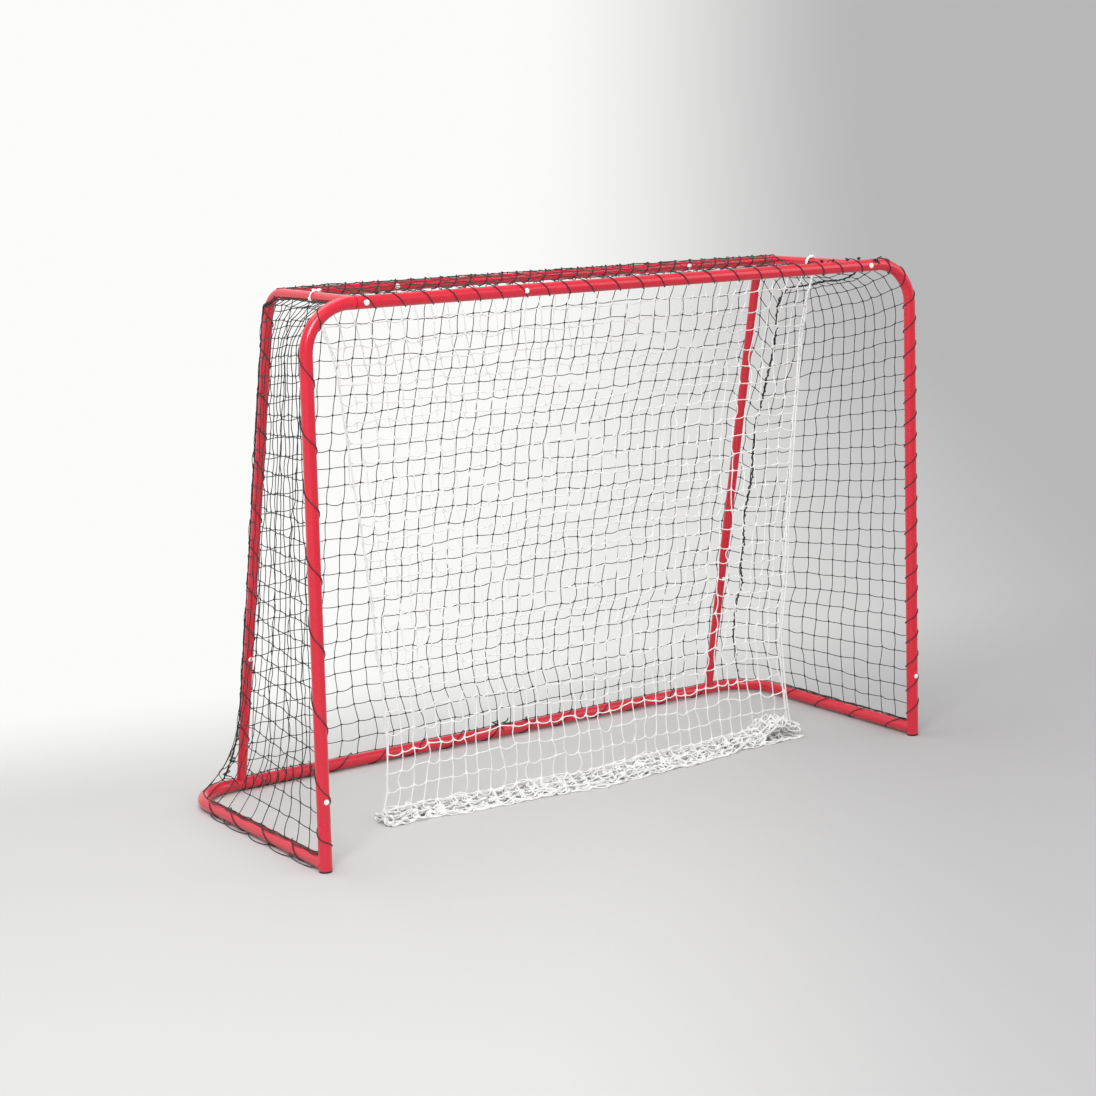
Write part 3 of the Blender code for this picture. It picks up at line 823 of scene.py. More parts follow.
@dataclass
class Route:
    """A tube's centreline for what is wound on it or laid along it.

    An angle of 0 points out of the bends and 90 degrees points along side.
    """

    corners: Sequence[Vector]
    bend_radius: float
    side: Vector
    points: list[Vector] = field(init=False)
    stations: list[float] = field(init=False)

    def __post_init__(self) -> None:
        """Rounds the corners."""
        line = list(self.corners)
        points = [line[0]]
        for before, corner, after in zip(line, line[1:], line[2:]):
            enter, leave = (corner - before).normalized(), (after - corner).normalized()
            turn = enter.angle(leave)
            first = corner - enter * self.bend_radius * math.tan(turn / 2)
            inward = (leave - enter * enter.dot(leave)).normalized()
            for i in range(BEND_STEPS + 1):
                a = turn * i / BEND_STEPS
                points.append(first + self.bend_radius
                              * (enter * math.sin(a) + inward * (1 - math.cos(a))))
        points.append(line[-1])
        self.points = points
        lengths = [(b - a).length for a, b in zip(points, points[1:])]
        self.stations = [0.0, *np.cumsum(lengths)]

    @property
    def length(self) -> float:
        """The centreline's length."""
        return self.stations[-1]

    def at(self, s: float) -> tuple[Vector, Vector]:
        """The point and the tangent at length s.

        Args:
            s: the length from the route's start.

        Returns:
            The point, and the direction there.
        """
        i = int(np.searchsorted(self.stations, s)) - 1
        i = max(0, min(i, len(self.points) - 2))
        share = (s - self.stations[i]) / (self.stations[i + 1] - self.stations[i])
        chords = [(self.points[j + 1] - self.points[j]).normalized()
                  for j in (max(i - 1, 0), i, min(i + 1, len(self.points) - 2))]
        tangent = (chords[0] + chords[1]).lerp(chords[1] + chords[2], share)
        return self.points[i].lerp(self.points[i + 1], share), tangent.normalized()

    def off(self, s: float, angle: float, distance: float) -> Vector:
        """A point beside the centreline, at an angle in degrees.

        Args:
            s: the length from the route's start.
            angle: the angle round the tube, in degrees.
            distance: how far it is from the centreline.

        Returns:
            The point.
        """
        point, tangent = self.at(s)
        outward = tangent.cross(self.side).normalized()
        a = math.radians(angle)
        return point + distance * (math.cos(a) * outward + math.sin(a) * self.side)

    def beside(self, start: float, end: float, angle: float, distance: float,
               steps: int) -> list[Vector]:
        """Evenly spaced points beside the centreline, from one length to another."""
        return [self.off(mix(start, end, k / steps), angle, distance)
                for k in range(steps + 1)]


FRONT = Route([Vector((-POST_X, 0, FOOT_FLANGE)), Vector((-POST_X, 0, BAR_Z)),
               Vector((POST_X, 0, BAR_Z)), Vector((POST_X, 0, FOOT_FLANGE))],
              CORNER_RADIUS, BACK)
BASE = Route([Vector((POST_X, 0, BASE_Z)), Vector((POST_X, FLOOR_DEPTH, BASE_Z)),
              Vector((-POST_X, FLOOR_DEPTH, BASE_Z)), Vector((-POST_X, 0, BASE_Z))],
             BASE_RADIUS, UP)


def support_route(side: Side) -> Route:
    """The centreline of a support, from the crossbar back and down to the base."""
    x = side.value * SUPPORT_X
    return Route([Vector((x, 0, BAR_Z)), Vector((x, TOP_DEPTH, BAR_Z)),
                  Vector((x, FLOOR_DEPTH, BASE_Z))], SUPPORT_RADIUS, -ACROSS)


def leg_depth(z: float, offset: float = 0.0) -> float:
    """How far back the legs' line is at a height, moved outwards by the offset."""
    slope = (FLOOR_DEPTH - TOP_DEPTH) / (BAR_Z - BASE_Z)
    return TOP_DEPTH + slope * (BAR_Z - z) + offset * math.hypot(1, slope)


def mix(a: float, b: float, share: float) -> float:
    """The value between a and b at a share from 0 to 1."""
    return a + (b - a) * share


def smooth_line(knots: Sequence[Sequence[float]], count: int) -> list[Vector]:
    """A smooth line through the knots, as count points.

    Args:
        knots: points that the line goes through.
        count: how many points it gets.

    Returns:
        The line's points.
    """
    held = [Vector(k) for k in knots]
    held = [2 * held[0] - held[1], *held, 2 * held[-1] - held[-2]]
    spans = len(held) - 3
    points = []
    for k in range(count):
        t = spans * k / (count - 1)
        i = min(int(t), spans - 1)
        t -= i
        a, b, c, d = held[i:i + 4]
        points.append(0.5 * (2 * b + (c - a) * t + (2 * a - 5 * b + 4 * c - d) * t ** 2
                             + (3 * b - a - 3 * c + d) * t ** 3))
    return points


def along(points: Sequence[Vector]) -> Edge:
    """A border that runs along a line: its share of length to its point.

    Args:
        points: the line's points.

    Returns:
        The border.
    """
    line = [Vector(p) for p in points]
    stations = np.cumsum([0.0, *[(b - a).length for a, b in zip(line, line[1:])]])

    def border(share: float) -> Vector:
        """The point at this share of the line's length.

        Args:
            share: the share, held between 0 and 1.

        Returns:
            The point.
        """
        s = max(0.0, min(1.0, share)) * stations[-1]
        i = max(0, min(int(np.searchsorted(stations, s)) - 1, len(line) - 2))
        return line[i].lerp(line[i + 1], (s - stations[i]) / (stations[i + 1] - stations[i]))

    return border


def stretched(bottom: Edge, top: Edge, left: Edge, right: Edge, grip: float = 1.0,
              ) -> Surface:
    """The surface stretched between four borders that share their corners.

    Args:
        bottom: the lower border, from left to right.
        top: the upper border, from left to right.
        left: the left border, from bottom to top.
        right: the right border, from bottom to top.
        grip: how soon the lower and upper borders' bends straighten away from them.

    Returns:
        The surface, by its shares across and up.
    """

    def surface(u: float, v: float) -> Vector:
        """The surface's point, u from left to right and v from bottom to top.

        Args:
            u: the share from left to right.
            v: the share from bottom to top.

        Returns:
            The surface's point.
        """
        low = bottom(u) - bottom(0).lerp(bottom(1), u)
        high = top(u) - top(0).lerp(top(1), u)
        return left(v).lerp(right(v), u) + low * (1 - v) ** grip + high * v ** grip

    return surface


@dataclass
class FrameTubes:
    """The painted tube frame, with its welds."""

    finishes: Finishes
    weld_r: float = 0.0016
    weld_ripples: int = 22
    ripple_height: float = 0.18

    def swaged(self, pipe: PipeBender) -> PipeBender:
        """Gives a pipe the narrow end that fits the bore of an equal tube."""
        share = (FRAME_R - WALL - GAP) / FRAME_R
        return pipe.run(SHOULDER, share).run(SPIGOT_LENGTH - SHOULDER)

    def show(self, name: str, mesh: bpy.types.Mesh, node: str) -> None:
        """Paints a tube and puts it in its node's place."""
        publish(name, mesh, self.finishes.paint, replaces=[node])

    def weld(self, name: str, cut: Sequence[Vector], bar: Vector, axis: Vector) -> None:
        """Lays a rippled bead round a saddle.

        Args:
            name: the bead's name.
            cut: the saddle's points.
            bar: a point on the axis of the bar under it.
            axis: that bar's direction.
        """
        middle = sum(cut, Vector()) / len(cut)
        normal = (middle - bar) - axis * (middle - bar).dot(axis)
        normal.normalize()
        other = normal.cross(axis)
        ring = sorted(cut, key=lambda p: math.atan2((p - middle).dot(other),
                                                    (p - middle).dot(axis)))
        run = plain_run(ring, closed=True)
        turns = np.linspace(0, 2 * math.pi, len(ring), endpoint=False)
        run.widths = 1 + self.ripple_height * np.sin(turns * self.weld_ripples)
        publish(name, cord_mesh([run], self.weld_r, LACE_SIDES), self.finishes.paint)

    def posts(self) -> None:
        """Bends both posts, with a swaged end each that goes into the crossbar."""
        for side in Side:
            x = side.value
            pipe = PipeBender(Vector((x * POST_X, 0, FOOT_FLANGE)), UP, FRAME_R)
            joint = CROSSBAR_HALF + SHOULDER + GAP
            pipe.through([Vector((x * POST_X, 0, BAR_Z)), Vector((x * joint, 0, BAR_Z))],
                         CORNER_RADIUS)
            self.show(f"painted_post_{side.word}", self.swaged(pipe).mesh(),
                      f"post_{side.word}")

    def bars(self) -> None:
        """Cuts the two straight bars of the frame."""
        for name, half, y, z in (("crossbar", CROSSBAR_HALF, 0.0, BAR_Z),
                                 ("base_rear_bar", BASE_BAR_HALF, FLOOR_DEPTH, BASE_Z)):
            pipe = PipeBender(Vector((-half, y, z)), ACROSS, FRAME_R)
            self.show(f"painted_{name}", pipe.run(2 * half).mesh(), name)

    def base_sides(self) -> None:
        """Bends the base bars and welds them to the posts."""
        for side in Side:
            x = side.value
            start = Vector((x * POST_X, 0, BASE_Z))
            pipe = PipeBender(start, BACK, FRAME_R)
            joint = BASE_BAR_HALF + SHOULDER + GAP
            pipe.through([Vector((x * POST_X, FLOOR_DEPTH, BASE_Z)),
                          Vector((x * joint, FLOOR_DEPTH, BASE_Z))], BASE_RADIUS)
            self.swaged(pipe)
            cut = pipe.saddle(pipe.first, start, UP, FRAME_R + GAP, BACK)
            self.show(f"painted_base_side_{side.word}", pipe.mesh(),
                      f"base_side_{side.word}")
            self.weld(f"weld_base_{side.word}", cut, start, UP)

    def supports(self) -> None:
        """Bends the supports: saddled on the crossbar, slid over pegs at the base."""
        for side in Side:
            x = side.value * SUPPORT_X
            start, foot = Vector((x, 0, BAR_Z)), Vector((x, FLOOR_DEPTH, BASE_Z))
            pipe = PipeBender(start, BACK, SUPPORT_R)
            pipe.through([Vector((x, TOP_DEPTH, BAR_Z)), foot], SUPPORT_RADIUS)
            pipe.saddle(pipe.first, start, ACROSS, FRAME_R + GAP, BACK)
            pipe.saddle(pipe.last, foot, ACROSS, FRAME_R + GAP, -pipe.heading)
            self.show(f"painted_support_{side.word}", pipe.mesh(), f"support_{side.word}")

    def rear_top_bar(self) -> None:
        """Saddles the rear top bar between the supports and welds it."""
        left = Vector((-SUPPORT_X, REAR_BAR_DEPTH, BAR_Z))
        right = Vector((SUPPORT_X, REAR_BAR_DEPTH, BAR_Z))
        pipe = PipeBender(left, ACROSS, SUPPORT_R).run(2 * SUPPORT_X)
        for side, ring, place in ((Side.LEFT, pipe.first, left),
                                  (Side.RIGHT, pipe.last, right)):
            cut = pipe.saddle(ring, place, BACK, SUPPORT_R + GAP, -side.value * ACROSS)
            self.weld(f"weld_rear_bar_{side.word}", cut, place, BACK)
        self.show("painted_rear_top_bar", pipe.mesh(), "rear_top_bar")

    def build(self) -> None:
        """Makes all tubes and dresses the pegs that the legs hide."""
        self.posts()
        self.bars()
        self.base_sides()
        self.supports()
        self.rear_top_bar()
        for side in Side:
            dress(f"support_peg_{side.word}", self.finishes.paint)


def dress(node: str, finish: bpy.types.Material) -> None:
    """Gives a CAD node that stays on show its material.

    Args:
        node: the CAD node's name.
        finish: its material.
    """
    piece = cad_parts[node]
    piece.data.materials.clear()
    piece.data.materials.append(finish)
    log.info("%s keeps its CAD shape", node)


@dataclass
class Fittings:
    """The feet, bolts, caps and net clips."""

    finishes: Finishes
    steps: int = 32
    dome_rings: int = 8
    clip_r: float = 0.0058
    clip_height: float = 0.003
    clip_rim: float = 0.0007
    clip_stem_r: float = 0.0025
    clip_depth: float = 0.006
    clip_point: float = 0.001
    clip_taper: float = 0.0007
    cap_r: float = 0.00625
    cap_height: float = 0.0043
    cap_rim: float = 0.0016
    cap_bore: float = 0.0051
    cap_roof: float = 0.0033
    plug_r: float = 0.0122
    plug_top: float = 0.0257
    plug_floor: float = 0.0125
    plug_wall: float = 0.003
    plug_bevel: float = 0.001
    sole_bevel: float = 0.0012
    sole_edge: float = 0.0004
    post_clip_z: float = 0.150
    crossbar_clip_x: float = -0.292
    rear_bar_clip_x: float = 0.405
    support_clip_z: float = 0.325

    def turned(self, profile: Sequence[tuple[float, float]], place: Vector,
               towards: Vector) -> bpy.types.Mesh:
        """Spins a profile of (radius, height) round a line and sets it in place.

        Args:
            profile: radius and height of each corner, in order.
            place: where the profile's height is 0.
            towards: the direction that its height runs in.

        Returns:
            The closed mesh.
        """
        bm = bmesh.new()
        verts = [bm.verts.new((r, 0, z)) for r, z in profile]
        edges = [bm.edges.new(pair) for pair in zip(verts, verts[1:])]
        bmesh.ops.spin(bm, geom=verts + edges, cent=ORIGIN, axis=UP, angle=2 * math.pi,
                       steps=self.steps, use_merge=True, use_duplicate=False)
        bmesh.ops.remove_doubles(bm, verts=bm.verts, dist=1e-6)
        turn = towards.to_track_quat("Z", "Y").to_matrix()
        bmesh.ops.rotate(bm, verts=bm.verts, cent=ORIGIN, matrix=turn)
        bmesh.ops.translate(bm, verts=bm.verts, vec=place)
        return shaded(mesh_of(bm, "turned"), MOULDED_EDGE)

    def dome(self, radius: float, height: float, rim: float) -> list[tuple[float, float]]:
        """The top of a button, from its middle out to its rim.

        Args:
            radius: the button's radius.
            height: its full height.
            rim: the height of its upright rim.

        Returns:
            The profile's corners as radius and height.
        """
        crown = [(radius * math.sin(a), rim + (height - rim) * math.cos(a))
                 for a in np.linspace(0, math.pi / 2, self.dome_rings)]
        crown[0] = (0.0, height)
        return [*crown, (radius, 0.0)]

    def clip(self, node: str, centre: Vector, towards: Vector, tube_r: float) -> None:
        """A push-in button with a tapered stem on a tube.

        Args:
            node: the CAD node that it stands for.
            centre: a point on the tube's centreline.
            towards: the direction from there to the button.
            tube_r: the tube's radius.
        """
        stem, depth = self.clip_stem_r, self.clip_depth
        profile = [*self.dome(self.clip_r, self.clip_height, self.clip_rim), (stem, 0.0),
                   (stem, -depth + self.clip_point), (stem - self.clip_taper, -depth),
                   (0.0, -depth)]
        mesh = self.turned(profile, centre + towards * (tube_r + GAP), towards)
        publish(f"button_{node}", mesh, self.finishes.white_plastic,
                replaces=[node])

    def clips(self) -> None:
        """Sets every net clip."""
        down = Vector((0, FLOOR_DEPTH - TOP_DEPTH, BASE_Z - BAR_Z)).normalized()
        leg_front = down.cross(ACROSS)
        for side in Side:
            x = side.value
            self.clip(f"net_clip_post_{side.word}",
                      Vector((x * POST_X, 0, self.post_clip_z)), -BACK, FRAME_R)
            self.clip(f"net_clip_rear_bar_{side.word}",
                      Vector((x * self.rear_bar_clip_x, REAR_BAR_DEPTH, BAR_Z)), -BACK,
                      SUPPORT_R)
            self.clip(f"net_clip_support_{side.word}",
                      Vector((x * SUPPORT_X, leg_depth(self.support_clip_z),
                              self.support_clip_z)), leg_front, SUPPORT_R)
        self.clip("net_clip_crossbar", Vector((self.crossbar_clip_x, 0, BAR_Z)), -BACK,
                  FRAME_R)

    def caps(self) -> None:
        """Sets the caps over the crossbar's bolts."""
        inner, roof = self.cap_bore, self.cap_roof
        profile = [*self.dome(self.cap_r, self.cap_height, self.cap_rim), (inner, 0.0),
                   (inner, roof * 0.7), (0.7 * inner, roof), (0.0, roof)]
        for side in Side:
            seat = Vector((side.value * SUPPORT_X, -(FRAME_R + 2 * GAP), BAR_Z))
            publish(f"cap_bolt_{side.word}", self.turned(profile, seat, -BACK),
                    self.finishes.white_plastic,
                    replaces=[f"bolt_cap_{side.word}"])

    def feet(self) -> None:
        """Sets the plugs that the posts stand on."""
        stem, top, base = self.plug_r, self.plug_top, FOOT_FLANGE - GAP
        bore, edge, bevel = stem - self.plug_wall, self.sole_edge, self.sole_bevel
        profile = [(0.0, self.plug_floor), (bore, self.plug_floor),
                   (bore + self.plug_bevel, top), (stem, top - self.plug_bevel),
                   (stem, base), (FRAME_R, base), (FRAME_R, bevel),
                   (FRAME_R - edge, edge), (FRAME_R - bevel, 0.0), (0.0, 0.0)]
        for side in Side:
            mesh = self.turned(profile, Vector((side.value * POST_X, 0, 0)), UP)
            publish(f"foot_plug_{side.word}", mesh, self.finishes.black_plastic,
                    replaces=[f"post_foot_{side.word}"])

    def build(self) -> None:
        """Makes the fittings that show and dresses the bolts and inserts."""
        self.clips()
        self.caps()
        self.feet()
        for side in Side:
            dress(f"crossbar_bolt_{side.word}", self.finishes.zinc)
            dress(f"support_insert_{side.word}", self.finishes.zinc)


class TubeGuard:
    """Keeps cords out of the tubes."""

    def __init__(self) -> None:
        """Lists each tube's centreline and radius."""
        lines = [(FRONT.points, FRAME_R), (BASE.points, FRAME_R)]
        lines += [(support_route(side).points, SUPPORT_R) for side in Side]
        lines.append(([Vector((x, REAR_BAR_DEPTH, BAR_Z)) for x in (-SUPPORT_X, SUPPORT_X)],
                      SUPPORT_R))
        self.spans = [(np.array(a), np.array(b), radius) for points, radius in lines
                      for a, b in zip(points, points[1:])]

    def clear(self, points: np.ndarray, cord_r: float) -> np.ndarray:
        """Moves points that lie in a tube out to its skin.

        Args:
            points: the cord's points, one in a row.
            cord_r: the cord's radius.

        Returns:
            The points, clear of the tubes and the floor.
        """
        points = points.copy()
        for a, b, radius in self.spans:
            way = b - a
            share = np.clip(((points - a) @ way) / (way @ way), 0, 1)
            off = points - (a + share[:, None] * way)
            far = np.linalg.norm(off, axis=1)
            limit = radius + cord_r + GAP
            inside = (far < limit) & (far > 1e-9)
            points[inside] += off[inside] * (limit / far[inside] - 1)[:, None]
        points[:, 2] = np.maximum(points[:, 2], cord_r)
        return points


@dataclass
class KnottedNet:
    """A net of square meshes, its twine knotted at each crossing.

    Knots stray by wander in long waves and in ripples, and by flutter one by one;
    slack is how far the twine between two knots is off its straight line. The free
    borders, left, right, bottom and top, aren't laced to anything.
    """

    across: int
    up: int
    surface: Surface
    guard: Optional[TubeGuard]
    seed: int
    slack: float
    wander: float
    flutter: float = 0.0012
    twine: float = TWINE
    knot: float = 0.0032
    free_borders: tuple[bool, bool, bool, bool] = (False, False, False, False)
    wave_scale: float = 5.5
    ripple_scale: float = 19.0
    ripple_share: float = 0.35
    droop: float = 0.7
    swerve: float = 0.55
    unevenness: float = 0.04

    def looseness(self, i: int, j: int) -> float:
        """How freely a knot strays: 0 at a laced border, 1 well inside.

        Args:
            i: the knot's number across.
            j: the knot's number up.

        Returns:
            The share.
        """
        steps = (i, self.across - i, j, self.up - j)
        laced = [step for step, free in zip(steps, self.free_borders) if not free]
        return min(1.0, min(laced, default=2) / 2)

    def knots(self) -> np.ndarray:
        """Where each knot hangs, as an array of across, up and 3.

        Returns:
            The knots' places.
        """
        rng = np.random.default_rng(self.seed)
        spots = np.zeros((self.across + 1, self.up + 1, 3))
        drift = Vector((self.seed * 1.7, 0, 0))
        for i in range(self.across + 1):
            for j in range(self.up + 1):
                p = self.surface(i / self.across, j / self.up)
                stray = noise.noise_vector(p * self.wave_scale + drift) * self.wander
                ripple = noise.noise_vector(p * self.ripple_scale + drift)
                stray += ripple * self.wander * self.ripple_share
                shake = Vector(rng.normal(0, self.flutter, 3))
                spots[i, j] = p + (stray + shake) * self.looseness(i, j)
        return spots

    def strand(self, knots: np.ndarray, rng: np.random.Generator) -> Run:
        """The twine through a row of knots, slack between them.

        Args:
            knots: the places of the row's knots.
            rng: the source of the slack's random draws.

        Returns:
            The twine as a run.
        """
        a, b = knots[:-1], knots[1:]
        way = b - a
        length = np.linalg.norm(way, axis=1)[:, None] + 1e-9
        side = rng.normal(0, self.swerve, way.shape)
        side[:, 2] -= self.droop * np.hypot(way[:, 0], way[:, 1]) / length[:, 0]
        side -= way * (side * way).sum(1)[:, None] / length ** 2
        rows = []
        bulge, neck = 0.36 * self.knot / length, 1.1 * self.knot / length
        for share in (bulge, neck, 0.36, 0.64, 1 - neck, 1 - bulge):
            rows.append(a + way * share + side * self.slack * 4 * share * (1 - share))
        points = np.stack(rows, axis=1).reshape(-1, 3)
        wide = self.knot / self.twine
        widths = np.tile([wide, 1, 1, 1, 1, wide], len(a))
        return Run(points, widths * rng.normal(1, self.unevenness, len(points)))

    def runs(self) -> list[Run]:
        """Every strand of the net, clear of the tubes.

        Returns:
            The strands across and up.
        """
        rng = np.random.default_rng(self.seed + 1)
        knots = self.knots()
        runs = [self.strand(knots[i], rng) for i in range(self.across + 1)]
        runs += [self.strand(knots[:, j], rng) for j in range(self.up + 1)]
        if self.guard:
            sizes = np.cumsum([len(run.points) for run in runs])[:-1]
            every = self.guard.clear(np.concatenate([run.points for run in runs]),
                                     self.twine / 2)
            for run, points in zip(runs, np.split(every, sizes)):
                run.points = points
        return runs

    def mesh(self) -> bpy.types.Mesh:
        """The net's mesh."""
        return cord_mesh(self.runs(), self.twine / 2, TWINE_SIDES)


@dataclass
class BlackNets:
    """The four laced nets and the seams between them.

    The gaps are each net's meshes across and up, and the tilts the angles at which the
    nets' lower borders lie on the base bar.
    """

    finishes: Finishes
    guard: TubeGuard
    rear_gaps: tuple[int, int] = (35, 28)
    top_gaps: tuple[int, int] = (34, 9)
    side_gaps: tuple[int, int] = (13, 28)
    border_r: float = FRAME_R + 0.0022
    top_border_r: float = SUPPORT_R + 0.0022
    rear_tilt: float = 60.0
    side_tilt: float = 84.0
    top_sag: float = 0.007
    rear_belly: float = 0.012
    rear_slant: float = 0.065
    slant_rise: float = 0.10
    side_reach: float = POST_X + 0.012
    seam_r: float = 0.0013
    seam_points: int = 60
    stitch_points: int = 720
    stitch_turn: int = 10
    base_stations: int = 800

    sway = {Side.LEFT: 0.002, Side.RIGHT: 0.012}
    side_belly = {Side.LEFT: 0.002, Side.RIGHT: 0.020}
    stitch_r = {Side.LEFT: 0.0014, Side.RIGHT: 0.0030}

    top_seam = {
        Side.LEFT: [(-0.698, 0.008, 1.176), (-0.693, 0.10, 1.160), (-0.692, 0.20, 1.156),
                    (-0.691, 0.30, 1.156), (-0.690, 0.372, 1.150)],
        Side.RIGHT: [(0.700, 0.008, 1.176), (0.707, 0.10, 1.133), (0.713, 0.20, 1.114),
                     (0.738, 0.30, 1.100), (0.765, 0.400, 1.085)],
    }
    leg_seam = {
        Side.LEFT: [(-0.690, 0.372, 1.150), (-0.689, 0.410, 1.136), (-0.6885, 0.430, 1.104),
                    (-0.6885, 0.463, 0.950), (-0.6885, 0.503, 0.760), (-0.6885, 0.545, 0.560),
                    (-0.6885, 0.587, 0.360), (-0.691, 0.626, 0.170), (-0.700, 0.642, 0.095),
                    (-0.719, 0.659, 0.034)],
        Side.RIGHT: [(0.765, 0.400, 1.085), (0.778, 0.443, 1.055), (0.771, 0.467, 0.941),
                     (0.764, 0.490, 0.829), (0.746, 0.509, 0.738), (0.752, 0.530, 0.639),
                     (0.745, 0.549, 0.548), (0.753, 0.596, 0.321), (0.756, 0.629, 0.167),
                     (0.766, 0.640, 0.100), (0.768, 0.629, 0.034)],
    }

    def base_station(self, point: Vector) -> float:
        """The length along the base bar nearest a point."""
        spots = np.linspace(0, BASE.length, self.base_stations)
        return min(spots, key=lambda s: (BASE.at(s)[0] - point).length)

    def seam_line(self, side: Side, knots: dict[Side, list], sway: float) -> list[Vector]:
        """A seam's line, swaying a little on its way.

        Args:
            side: the seam's side.
            knots: points on the seam, for each side.
            sway: how far it strays.

        Returns:
            The line's points.
        """
        line = smooth_line(knots[side], self.seam_points)
        for k, p in enumerate(line):
            loose = min(1.0, k / 6, (len(line) - 1 - k) / 6)
            line[k] = p + noise.noise_vector(p * 14) * sway * loose
        return line

    def borders(self, side: Side) -> tuple[list[Vector], list[Vector]]:
        """The top seam and the leg seam of a side."""
        return (self.seam_line(side, self.top_seam, self.sway[side] / 2),
                self.seam_line(side, self.leg_seam, self.sway[side]))

    def hang(self, node: str, gaps: tuple[int, int], surface: Surface, seed: int,
             slack: float, wander: float) -> None:
        """Shows a knotted net in a node's place.

        Args:
            node: the CAD node.
            gaps: the net's meshes across and up.
            surface: what it hangs in.
            seed: the seed of its slack.
            slack: how far its twine is off the straight line between two knots.
            wander: how far its knots stray in waves.
        """
        net = KnottedNet(*gaps, surface, self.guard, seed, slack, wander)
        publish(f"mesh_{node}", net.mesh(), self.finishes.net,
                replaces=[node])

    def top(self) -> None:
        """The top net, over the crossbar, the supports and the rear bar."""
        left, right = self.borders(Side.LEFT)[0], self.borders(Side.RIGHT)[0]
        up, back = BAR_Z + self.border_r * 0.6, self.border_r * 0.8
        rear = BAR_Z + self.top_border_r
        front_line = [left[0], Vector((-0.66, back, up)), Vector((0.66, back, up)), right[0]]
        rear_line = [left[-1], Vector((-0.690, 0.356, rear - 0.002)),
                     Vector((-0.655, REAR_BAR_DEPTH - 0.003, rear)),
                     Vector((0.655, REAR_BAR_DEPTH - 0.003, rear)),
                     Vector((0.692, 0.356, rear - 0.002)), right[-1]]
        flat = stretched(along(front_line), along(rear_line), along(left), along(right))

        def surface(u: float, v: float) -> Vector:
            """The stretched net with a little sag between the bars.

            Args:
                u: the share from left to right.
                v: the share from bottom to top.

            Returns:
                The surface's point.
            """
            p = flat(u, v)
            p.z -= self.top_sag * math.sin(math.pi * v) * math.sin(math.pi * u) ** 0.5
            return p

        self.hang("net_top", self.top_gaps, surface, seed=11, slack=0.0022, wander=0.0022)

    def rear(self) -> None:
        """The rear net, down the back of the legs to the base bar."""
        left, right = self.borders(Side.LEFT)[1], self.borders(Side.RIGHT)[1]
        rear = BAR_Z + self.top_border_r
        low = BASE.beside(self.base_station(left[-1]), self.base_station(right[-1]),
                          self.rear_tilt, self.border_r, 80)
        low[0], low[-1] = left[-1], right[-1]
        high = [left[0], Vector((-0.690, 0.366, rear - 0.004)),
                Vector((-0.655, REAR_BAR_DEPTH + 0.004, rear)),
                Vector((0.655, REAR_BAR_DEPTH + 0.004, rear)),
                Vector((0.692, 0.366, rear - 0.004)), right[0]]
        flat = stretched(along(low), along(high), along(left[::-1]), along(right[::-1]))

        def surface(u: float, v: float) -> Vector:
            """The net behind the legs' line, bellied a little, slanting low down.

            Args:
                u: the share from left to right.
                v: the share from bottom to top.

            Returns:
                The surface's point.
            """
            p = flat(u, v)
            inside = math.sin(math.pi * u) ** 0.5 * math.sin(math.pi * v)
            line = leg_depth(p.z, 0.013)
            settled = min(1.0, 9 * v, 9 * (1 - v))
            p.y = mix(p.y, max(p.y, line), settled) + self.rear_belly * inside
            low_down = math.exp(-((v / self.slant_rise) ** 2))
            p.x += self.rear_slant * low_down * math.sin(math.pi * min(1, u * 1.4))
            return p

        self.hang("net_rear", self.rear_gaps, surface, seed=23, slack=0.0028, wander=0.0055)

    def side(self, side: Side) -> None:
        """A side net, between a post, the base bar and the seams.

        Args:
            side: the goal's side.
        """
        top_line, leg_line = self.borders(side)
        end = FRONT.length / 2 - CROSSBAR_HALF
        front = mirrored(FRONT.beside(0.028, end, 90, self.border_r, 60), -side.value)
        front[-1] = top_line[0]
        foot = self.base_station(Vector((abs(leg_line[-1].x), *leg_line[-1].yz)))
        low = mirrored(BASE.beside(0.018, foot, self.side_tilt, self.border_r, 60),
                       side.value)
        low[0], low[-1] = front[0], leg_line[-1]
        flat = stretched(along(low), along(top_line), along(front), along(leg_line[::-1]),
                         grip=9.0)
        belly = self.side_belly[side]

        def surface(u: float, v: float) -> Vector:
            """The net, bellied out a little between its borders.

            Args:
                u: the share from left to right.
                v: the share from bottom to top.

            Returns:
                The surface's point.
            """
            p = flat(u, v)
            p.x += side.value * belly * math.sin(math.pi * u) * math.sin(math.pi * v)
            p.x = side.value * min(abs(p.x), self.side_reach)
            return p

        self.hang(f"net_{side.word}", self.side_gaps, surface, seed=31 + side.value,
                  slack=0.0022, wander=0.0035)

    def seam(self, side: Side) -> None:
        """The cord that sews the side net to the top and rear nets.

        Args:
            side: the goal's side.
        """
        top_line, leg_line = self.borders(side)
        line = top_line + leg_line[1:]
        fine = along(line)
        spiral = []
        for k in range(self.stitch_points):
            p = fine(k / (self.stitch_points - 1))
            a = 2 * math.pi * k / self.stitch_turn
            turn = Vector((math.cos(a), math.sin(a), 0.4 * math.sin(a)))
            spiral.append(p + turn * self.stitch_r[side])
        runs = [plain_run(line), plain_run(spiral)]
        for run in runs:
            run.points = self.guard.clear(run.points, self.seam_r)
        publish(f"seam_cord_{side.word}", cord_mesh(runs, self.seam_r, TWINE_SIDES),
                self.finishes.lace, replaces=[f"net_seam_{side.word}"])

    def build(self) -> None:
        """Makes all black nets and their seams."""
        self.top()
        self.rear()
        for side in Side:
            self.side(side)
            self.seam(side)


